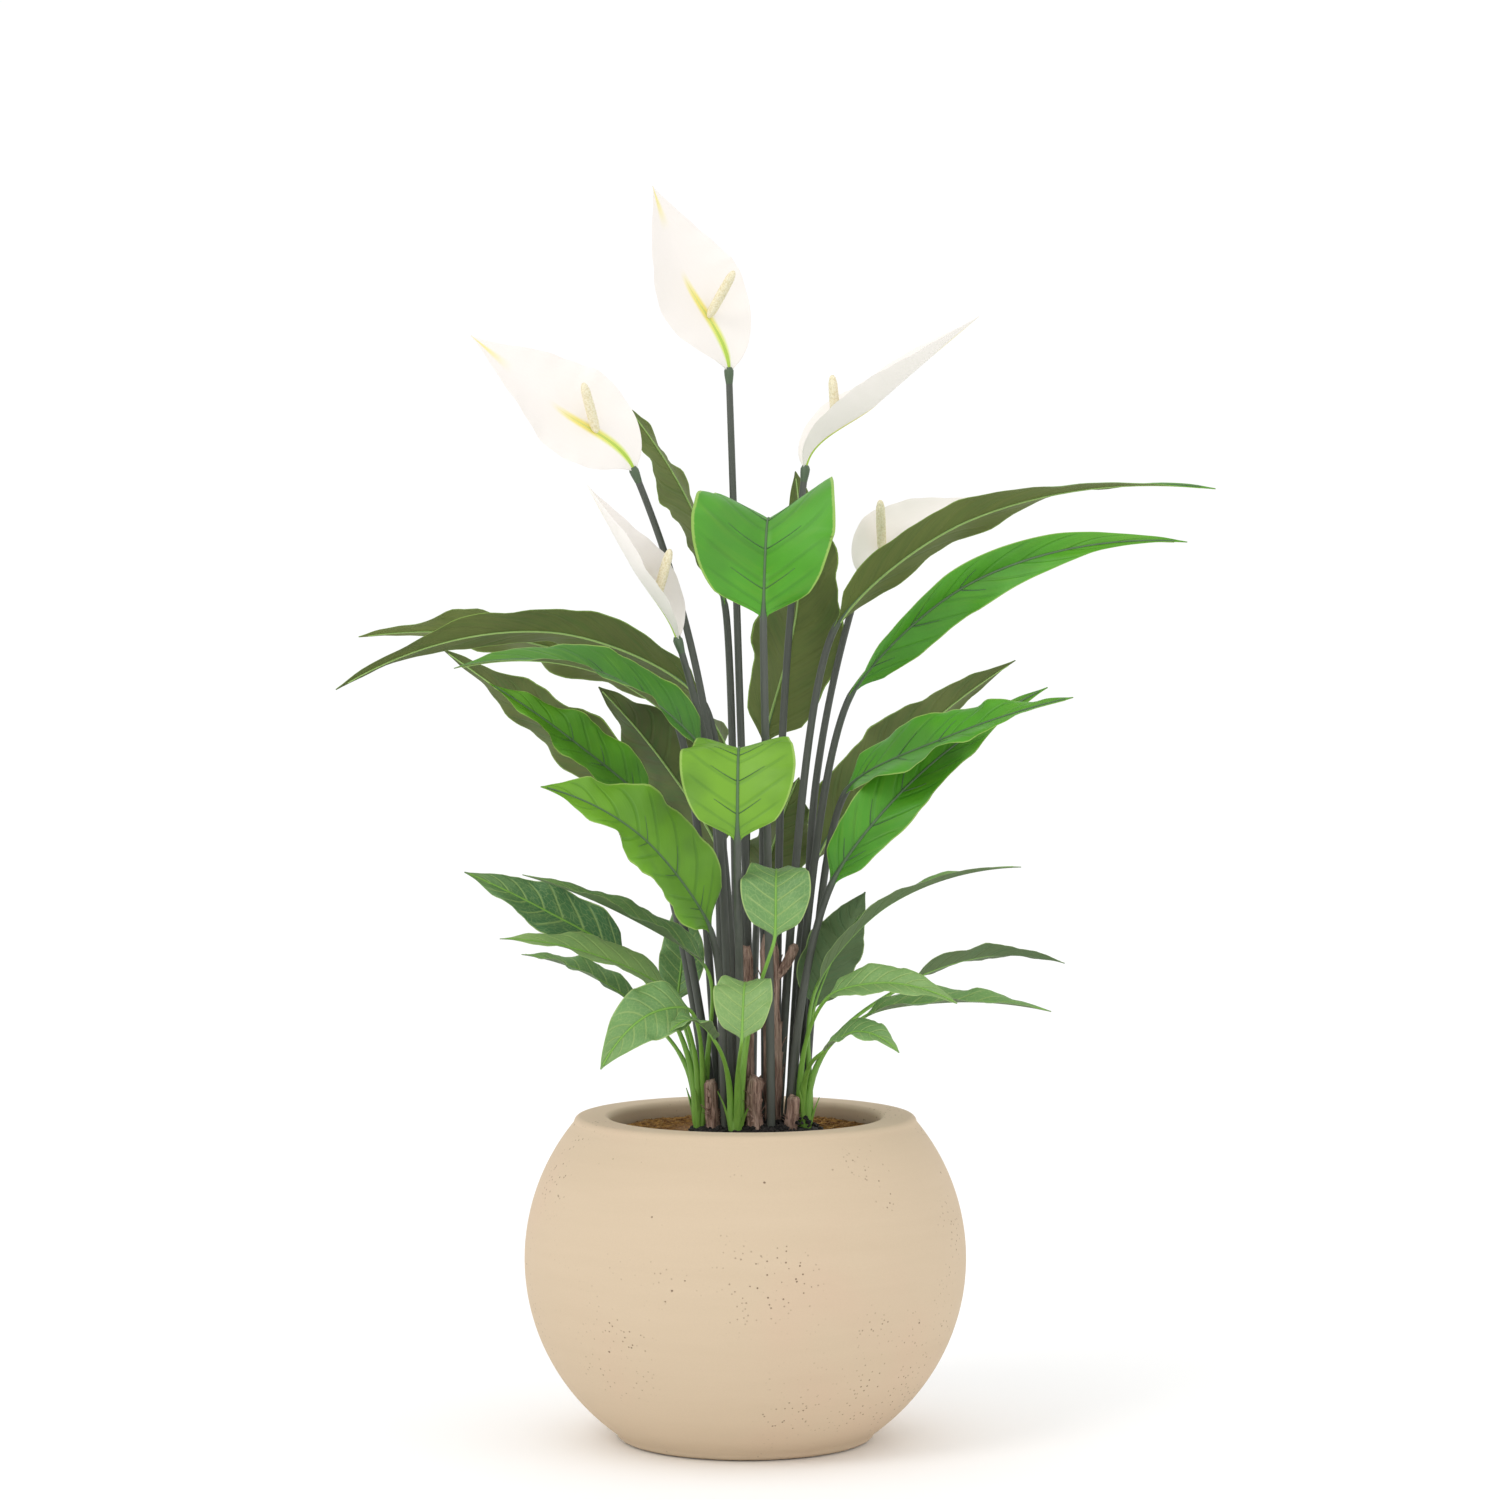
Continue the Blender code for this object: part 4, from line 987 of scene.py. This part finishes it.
print("small leaves:", len(SMALL_LEAVES))

# %% [markdown]
# ## Hood
# The white hood is cut from thin crepe-like cloth over a wire, and cupped like a spoon. A yellow-green
# streak runs up its midrib and turns golden before it fades out past the spike, and the point has a
# faint yellow streak of its own. It uses the leaf's surface with another width and a curved section.
# The crepe is a noise stretched along the blade, so its fine creases run from the foot outwards.


# %% Hood surface and cloth
class Hood(Blade):
    """A hood opens wider near its foot than a leaf, and is cupped like a spoon."""

    def section(self, along):
        place = min(max(along, 0.001), 0.9999)
        swell = math.sin(math.pi * place**0.80)
        wide = max(self.half_width * swell * (1 - 0.30 * along**3), TIP_HALF_WIDTH * 0.6)
        return max(wide, 0.003 * (1 - along)), math.radians(self.fold), 1.5

    def ripple(self, along, across):
        reach = abs(across)
        half = 0 if across > 0 else 1
        fast = 0.035 * math.sin(2 * math.pi * self.waves[0] * along * 0.6 + self.phases[half])
        fast += 0.012 * math.sin(2 * math.pi * self.waves[1] * along + self.phases[2 + half])
        return self.half_width * fast * reach**2.5 * math.sin(math.pi * along)


cloth = Finish("hood_cloth", Roughness=0.6)
along, across = cloth.stored("along"), cloth.stored("across")
reach = abs(across)
where = cloth.place()
streak = 1 - cloth.ramp(reach * (0.5 + along * 2.4), 0.05, 0.16)
streak = streak * (1 - cloth.ramp(along, 0.36, 0.55))
end_streak = (1 - cloth.ramp(reach, 0.05, 0.35)) * cloth.ramp(along, 0.74, 0.95)
crepe = cloth.noise(cloth.vector(across * 26 - along * 10, along * 12, 0.0), 1.0, 4.0)
fine_crepe = cloth.noise(where, 500.0, 2.0)
white = cloth.mix(crepe * 0.35, (0.90, 0.855, 0.815), (0.84, 0.79, 0.74))
golden = cloth.mix(cloth.ramp(along, 0.10, 0.32), (0.62, 0.76, 0.06), (0.84, 0.74, 0.10))
white = cloth.mix(streak * 0.85, white, golden)
white = cloth.mix(end_streak * 0.8, white, (0.88, 0.78, 0.20))
cloth.wear(Base_Color=white, Roughness=0.55 + fine_crepe * 0.2,
           Normal=cloth.bump(crepe * 0.8 + fine_crepe * 0.05, 0.15, 0.0004))

hood_rib = Finish("hood_midrib")
share = hood_rib.ramp(hood_rib.stored("along"), 0.05, 0.55)
speckle = hood_rib.noise(hood_rib.place(), 200.0, 2.0)
rib_colour = hood_rib.mix(share, (0.40, 0.60, 0.05), (0.85, 0.76, 0.30))
hood_rib.wear(Base_Color=hood_rib.mix(speckle * 0.2, rib_colour, (0.55, 0.62, 0.25)),
              Roughness=0.5 + speckle * 0.1)

print("hood cloth ready:", cloth.material.name, hood_rib.material.name)

# %% [markdown]
# ## Spike
# The cream spike is a moulded rod about as thick as a pencil, set with small round grains in rows.
# Hundreds of little balls would do it too, but waves round and along one rod give the same rows for
# far fewer faces, and a cell pattern in the finish rounds each grain off.

# %% Spike finish and girth
spike = Finish("spike_cream", Roughness=0.75)
where = spike.place()
grains = spike.cells(where, 620.0)
spike_colour = spike.mix(spike.ramp(grains, 0.3, 0.9), (0.90, 0.84, 0.64), (0.76, 0.67, 0.42))
spike.wear(Base_Color=spike.mix(spike.noise(where, 60.0) * 0.3, spike_colour,
                                (0.84, 0.76, 0.50)),
           Normal=spike.bump(grains * -1.0, 0.7, 0.0008))

FLOWER_STEM_RADIUS = 0.0038
SPADIX_RADIUS = 0.0042
SPADIX_PLACE = 0.27
SPADIX_GIRTHS = ((0.0, 0.4), (0.06, 0.8), (0.16, 1.0), (0.55, 1.05), (0.85, 0.95), (0.96, 0.65),
                 (1.0, 0.3))


def girth_at(share):
    for (low, first), (high, last) in zip(SPADIX_GIRTHS, SPADIX_GIRTHS[1:]):
        if share <= high:
            return first + (last - first) * (share - low) / (high - low)
    return SPADIX_GIRTHS[-1][1]


print("spike is", round(2000 * SPADIX_RADIUS, 1), "mm thick")

# %% [markdown]
# ## Flowers
# A flower is a dark coated stem with a small moulded collar, then the hood, then the spike, which
# stands on the hood's midrib a quarter of the way up. They could be one piece, but the hood is cloth
# and the other two are plastic, so each is its own piece with its own finish.

# %% Build the flowers
for number, foot, bend, collar, middle, tip, half_width, fold, turns, axis in FLOWERS:
    draw = random.Random(200 + number)
    knots = [Vector((foot[0], foot[1], SOCKET_FLOOR)), Vector((foot[0], foot[1], MOUND_TOP)),
             above_disc(bend), above_disc(collar)]
    stations = spine(knots, (2, 24, 24))
    stem_end = stations[-1][1]
    radii = [FLOWER_STEM_RADIUS * (1 - 0.2 * index / 50) for index in range(len(stations))]
    stem = Piece(f"flower_stem_{number}", f"stem_{number}", "stem_plastic", ("along",))
    sides = 14
    add_rod(stem, stations, radii, sides, 0, along=[-1.0] * sides * len(stations))
    start = above_disc(collar) + stem_end * FLOWER_STEM_RADIUS
    knob = [(start - stem_end * 0.012, stem_end), (start - stem_end * 0.004, stem_end),
            (start, stem_end), (start + stem_end * 0.003, stem_end)]
    add_rod(stem, knob, [0.0031, 0.0042, 0.0044, 0.0030], sides, 0, along=[0.05] * sides * 4)
    stem.make([stem_finish.material])

    knots = [start, above_disc(middle), above_disc(tip)]
    stations = spine(knots, (30, 30), stem_end)
    blade = Hood(stations, level_heading(knots[0], knots[2]), (half_width, fold, turns), 0.003,
                 draw)
    hood = Piece(f"hood_{number}", f"spathe_{number}", "spathe_white",
                 ("along", "across", "upper", "tone"))
    add_blade(hood, blade, 60, 24, 0.0010, 0.0)
    rings, field = [], []
    for step in range(31):
        place = 0.50 * step / 30
        point, direction, side, normal = blade.frame(place)
        rings.append(ring_round(point, side, normal, 0.0019 * (1 - 1.55 * place), 8))
        field += [place] * 8
    hood.tube(rings, 1, along=field)
    hood.make([cloth.material, hood_rib.material])

    seat, direction, side, normal = blade.frame(SPADIX_PLACE)
    reach_out = Vector(axis)
    direction = reach_out.normalized()
    side = any_side(direction)
    normal_in = direction.cross(side)
    base = seat + normal * 0.0010
    rings = []
    count, sides = ((72, 30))
    for step in range(count + 1):
        share = step / count
        middle_point = base + direction * (reach_out.length + 0.0025) * share
        ring = []
        for index in range(sides):
            angle = 2 * math.pi * index / sides
            grain = math.sin(10 * angle) * math.sin(math.pi * step / 2.4)
            radius = SPADIX_RADIUS * girth_at(share) * (1 + 0.075 * grain)
            ring.append(middle_point + radius * (side * math.cos(angle)
                                                 + normal_in * math.sin(angle)))
        rings.append(ring)
    spadix = Piece(f"spike_{number}", f"spadix_{number}", "spadix_cream")
    spadix.tube(rings)
    spadix.make([spike.material], smooth=80)
print("flowers:", len(FLOWERS))

# %% [markdown]
# ## Canes
# Five short canes stand among the stems, wrapped in real bark. The bark's colour and relief come from
# a noise stretched lengthwise, which gives the long fibres, over a broader one that paints pale
# highlight patches on some fibres.

# %% Bark finish
bark = Finish("bark", Roughness=0.95)
where = bark.place()
lengthwise = bark.noise(bark.stretched(where, (420.0, 420.0, 28.0)), 1.0, 5.0, 0.7)
pale_highlight_patches = bark.noise(bark.stretched(where, (90.0, 90.0, 22.0)), 1.0, 2.0)
ridge = bark.mix(bark.ramp(lengthwise, 0.35, 0.68), (0.120, 0.066, 0.045), (0.56, 0.38, 0.30))
# Pale patches over some fibres are painted highlight.
ridge = bark.mix(bark.ramp(pale_highlight_patches, 0.5, 0.7) * 0.45, ridge, (0.48, 0.36, 0.28))
bark.wear(Base_Color=ridge, Normal=bark.bump(lengthwise, 1.0, 0.0022))


print("bark nodes:", len(bark.tree.nodes))

# %% [markdown]
# ## Bark-wrapped rods
# A cane is a rod whose girth is roughened with noise that runs lengthwise, with thin strips of bark
# that peel away at their upper ends. The thickest one ends in a fork. A bump alone could draw the
# fibres, but the torn outline against the light needs real strips.


# %% Build the canes
def rough_rod(piece, line, radius, seed, end_share):
    """A rod with lengthwise ridges and a ragged top."""
    sides = 36
    rings = []
    for number, (point, direction) in enumerate(line):
        side = any_side(direction)
        normal = direction.cross(side)
        share = number / (len(line) - 1)
        ring = []
        for index in range(sides):
            angle = 2 * math.pi * index / sides
            across = Vector((math.cos(angle), math.sin(angle), 0.0))
            ridges = noise.noise(across * 3.2 + Vector((seed, 0.0, point.z * 26)))
            swell = noise.noise(Vector((seed * 3, 0.0, point.z * 45)))
            girth = radius * (1 + 0.24 * ridges + 0.20 * swell)
            girth *= 1.0 - (1.0 - end_share) * max(0.0, share - 0.93) / 0.07
            ring.append(point + girth * (side * across.x + normal * across.y))
        if number == len(line) - 1:
            ring = [p + direction * radius * 0.5 * noise.noise(p * 260) for p in ring]
        rings.append(ring)
    piece.tube(rings)


def add_strip(piece, line, radius, draw):
    """A thin strip of bark that lies along the rod and lifts away at its upper end."""
    start = draw.randrange(2, max(3, len(line) - 12))
    length = draw.randrange(6, 11)
    angle = draw.uniform(0, 2 * math.pi)
    half = draw.uniform(0.0012, 0.0024)
    lift_end = draw.uniform(0.0005, 0.0055)
    rings = []
    picked = line[start:start + length]
    for number, (point, direction) in enumerate(picked):
        share = number / max(1, len(picked) - 1)
        side = any_side(direction)
        normal = direction.cross(side)
        turn = angle + 0.25 * math.sin(3 * share)
        out = side * math.cos(turn) + normal * math.sin(turn)
        level = direction.cross(out)
        middle_point = point + out * (radius * 1.02 + lift_end * share**2.5)
        width = half * (1 - 0.6 * share)
        rings.append([middle_point + level * width, middle_point - out * 0.0005,
                      middle_point - level * width, middle_point + out * 0.0005])
    piece.tube(rings)


PRONG = ((0.0235, -0.012, 0.135), (0.036, -0.013, 0.152), (0.045, -0.014, 0.171))
for number, (name, foot, radius, axis_points) in enumerate(CANES):
    draw = random.Random(300 + number)
    knots = [Vector((foot[0], foot[1], SOCKET_FLOOR)), Vector((foot[0], foot[1], MOUND_TOP))]
    knots += [above_disc(point) for point in axis_points]
    line = spine(knots, ((4, 24, 24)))
    cane = Piece(f"bark_{name}", name, "bark")
    rough_rod(cane, line, radius * 1.06, number * 5.3, 0.6)
    if name == "cane_forked":
        prong = spine([above_disc(point) for point in PRONG], (12, 12),
                      Vector((0.4, 0.0, 0.9)).normalized())
        rough_rod(cane, prong, radius * 0.55, 41.0, 0.5)
    for _ in range(22):
        add_strip(cane, line[3:], radius, draw)
    cane.make([bark.material], smooth=45)
print("canes:", len(CANES))

# %% [markdown]
# ## Sheaths
# The petioles of a sprig come together in a light-green moulding that is pushed into the plug. Each
# petiole is thicker where it leaves the moulding, so neighbours part in narrow forks, and short
# pointed bracts wrap the outside. The moulding could be one turned body, but then it would hide the
# forks, which are the first thing the eye finds at the foot of a sprig.

# %% Build the sheaths
for sheath, (x, y) in SHEATHS.items():
    draw = random.Random(400 + len(petiole_lines[sheath]))
    moulding = Piece(f"moulded_{sheath}", sheath, "light_green_plastic",
                     ("along", "across", "upper", "tone"))
    core = [(Vector((x, y, z)), UPRIGHT) for z in
            (SOCKET_FLOOR, DISC_TOP - 0.004, DISC_TOP + 0.004, SHEATH_TOP - 0.006, SHEATH_TOP)]
    add_rod(moulding, core, [0.0058, 0.0058, 0.0060, 0.0064, 0.0040], 20)
    for line in petiole_lines[sheath]:
        foot = line[0][0]
        lean = Vector((foot.x - x, foot.y - y, 0.0))
        low = Vector((x, y, DISC_TOP + 0.002)) + lean * 0.55
        blend = [(low, UPRIGHT), (low.lerp(foot, 0.5) + lean * 0.12, UPRIGHT),
                 (foot, UPRIGHT)] + line[1:9]
        radii = [0.0030, 0.0033, 0.0033, 0.0032, 0.0031, 0.0030, 0.0028, 0.0026, 0.0024,
                 0.0022, 0.0020]
        add_rod(moulding, blend, radii, 12)
    for index in range(4):
        turn = 2 * math.pi * index / 4 + draw.uniform(-0.4, 0.4)
        out = Vector((math.cos(turn), math.sin(turn), 0.0))
        low = Vector((x, y, DISC_TOP + 0.001)) + out * 0.0056
        rise = draw.uniform(0.026, 0.040)
        knots = [low, low + out * 0.0034 + UPRIGHT * rise * 0.55,
                 low + out * draw.uniform(0.006, 0.011) + UPRIGHT * rise]
        stations = spine(knots, (8, 8))
        rings = []
        for number, (point, direction) in enumerate(stations):
            share = number / 16
            level = UPRIGHT.cross(out)
            width = 0.0042 * (1 - share**1.6) + 0.0003
            inward = -out * width * 0.5
            thick = out * 0.0005
            rings.append([point + level * width + inward, point - thick,
                          point - level * width + inward, point + thick])
        moulding.tube(rings)
    moulding.make([petiole_finish.material], smooth=50)
print("sheaths:", len(SHEATHS))

# %% [markdown]
# ## Light, floor and camera
# The plant stands on a plain white floor against a white background, lit softly from the upper left
# with a broad fill from the right, and seen from the front, from a little above its middle.


# %% Studio
def area_light(name, location, target, size, power):
    light = bpy.data.lights.new(name, "AREA")
    light.shape = "DISK"
    light.size = size
    light.energy = power
    item = bpy.data.objects.new(name, light)
    item.location = location
    item.rotation_euler = (Vector(target) - Vector(location)).to_track_quat("-Z", "Y").to_euler()
    bpy.context.scene.collection.objects.link(item)


floor_finish = Finish("floor", Roughness=0.9)
floor_finish.shader.inputs["Base Color"].default_value = (0.99, 0.99, 0.99, 1.0)
floor_mesh = bpy.data.meshes.new("floor")
floor_mesh.from_pydata([(-12, -12, -0.0005), (12, -12, -0.0005), (12, 12, -0.0005),
                        (-12, 12, -0.0005)], [], [(0, 1, 2, 3)])
floor_mesh.materials.append(floor_finish.material)
floor = bpy.data.objects.new("floor", floor_mesh)
bpy.context.scene.collection.objects.link(floor)

world = bpy.data.worlds.new("white_room")
world.use_nodes = True
world.node_tree.nodes["Background"].inputs["Color"].default_value = (1.0, 1.0, 1.0, 1.0)
world.node_tree.nodes["Background"].inputs["Strength"].default_value = 1.03
bpy.context.scene.world = world
bpy.context.scene.view_settings.view_transform = "Standard"
area_light("key", (-3.4, -3.6, 4.6), (0.0, 0.0, 0.55), 2.6, 75)
area_light("fill", (4.2, -3.0, 2.6), (0.0, 0.0, 0.5), 3.0, 14)

camera_data = bpy.data.cameras.new("camera")
camera_data.lens = 106.5
camera_data.sensor_width = 36.0
camera_data.dof.use_dof = False
camera = bpy.data.objects.new("camera", camera_data)
camera.location = (0.0041, -4.0, 0.782)
camera.rotation_euler = (math.radians(90 - 2.27), 0.0, 0.0)
bpy.context.scene.collection.objects.link(camera)
bpy.context.scene.camera = camera
print("camera at", [round(c, 3) for c in camera.location])
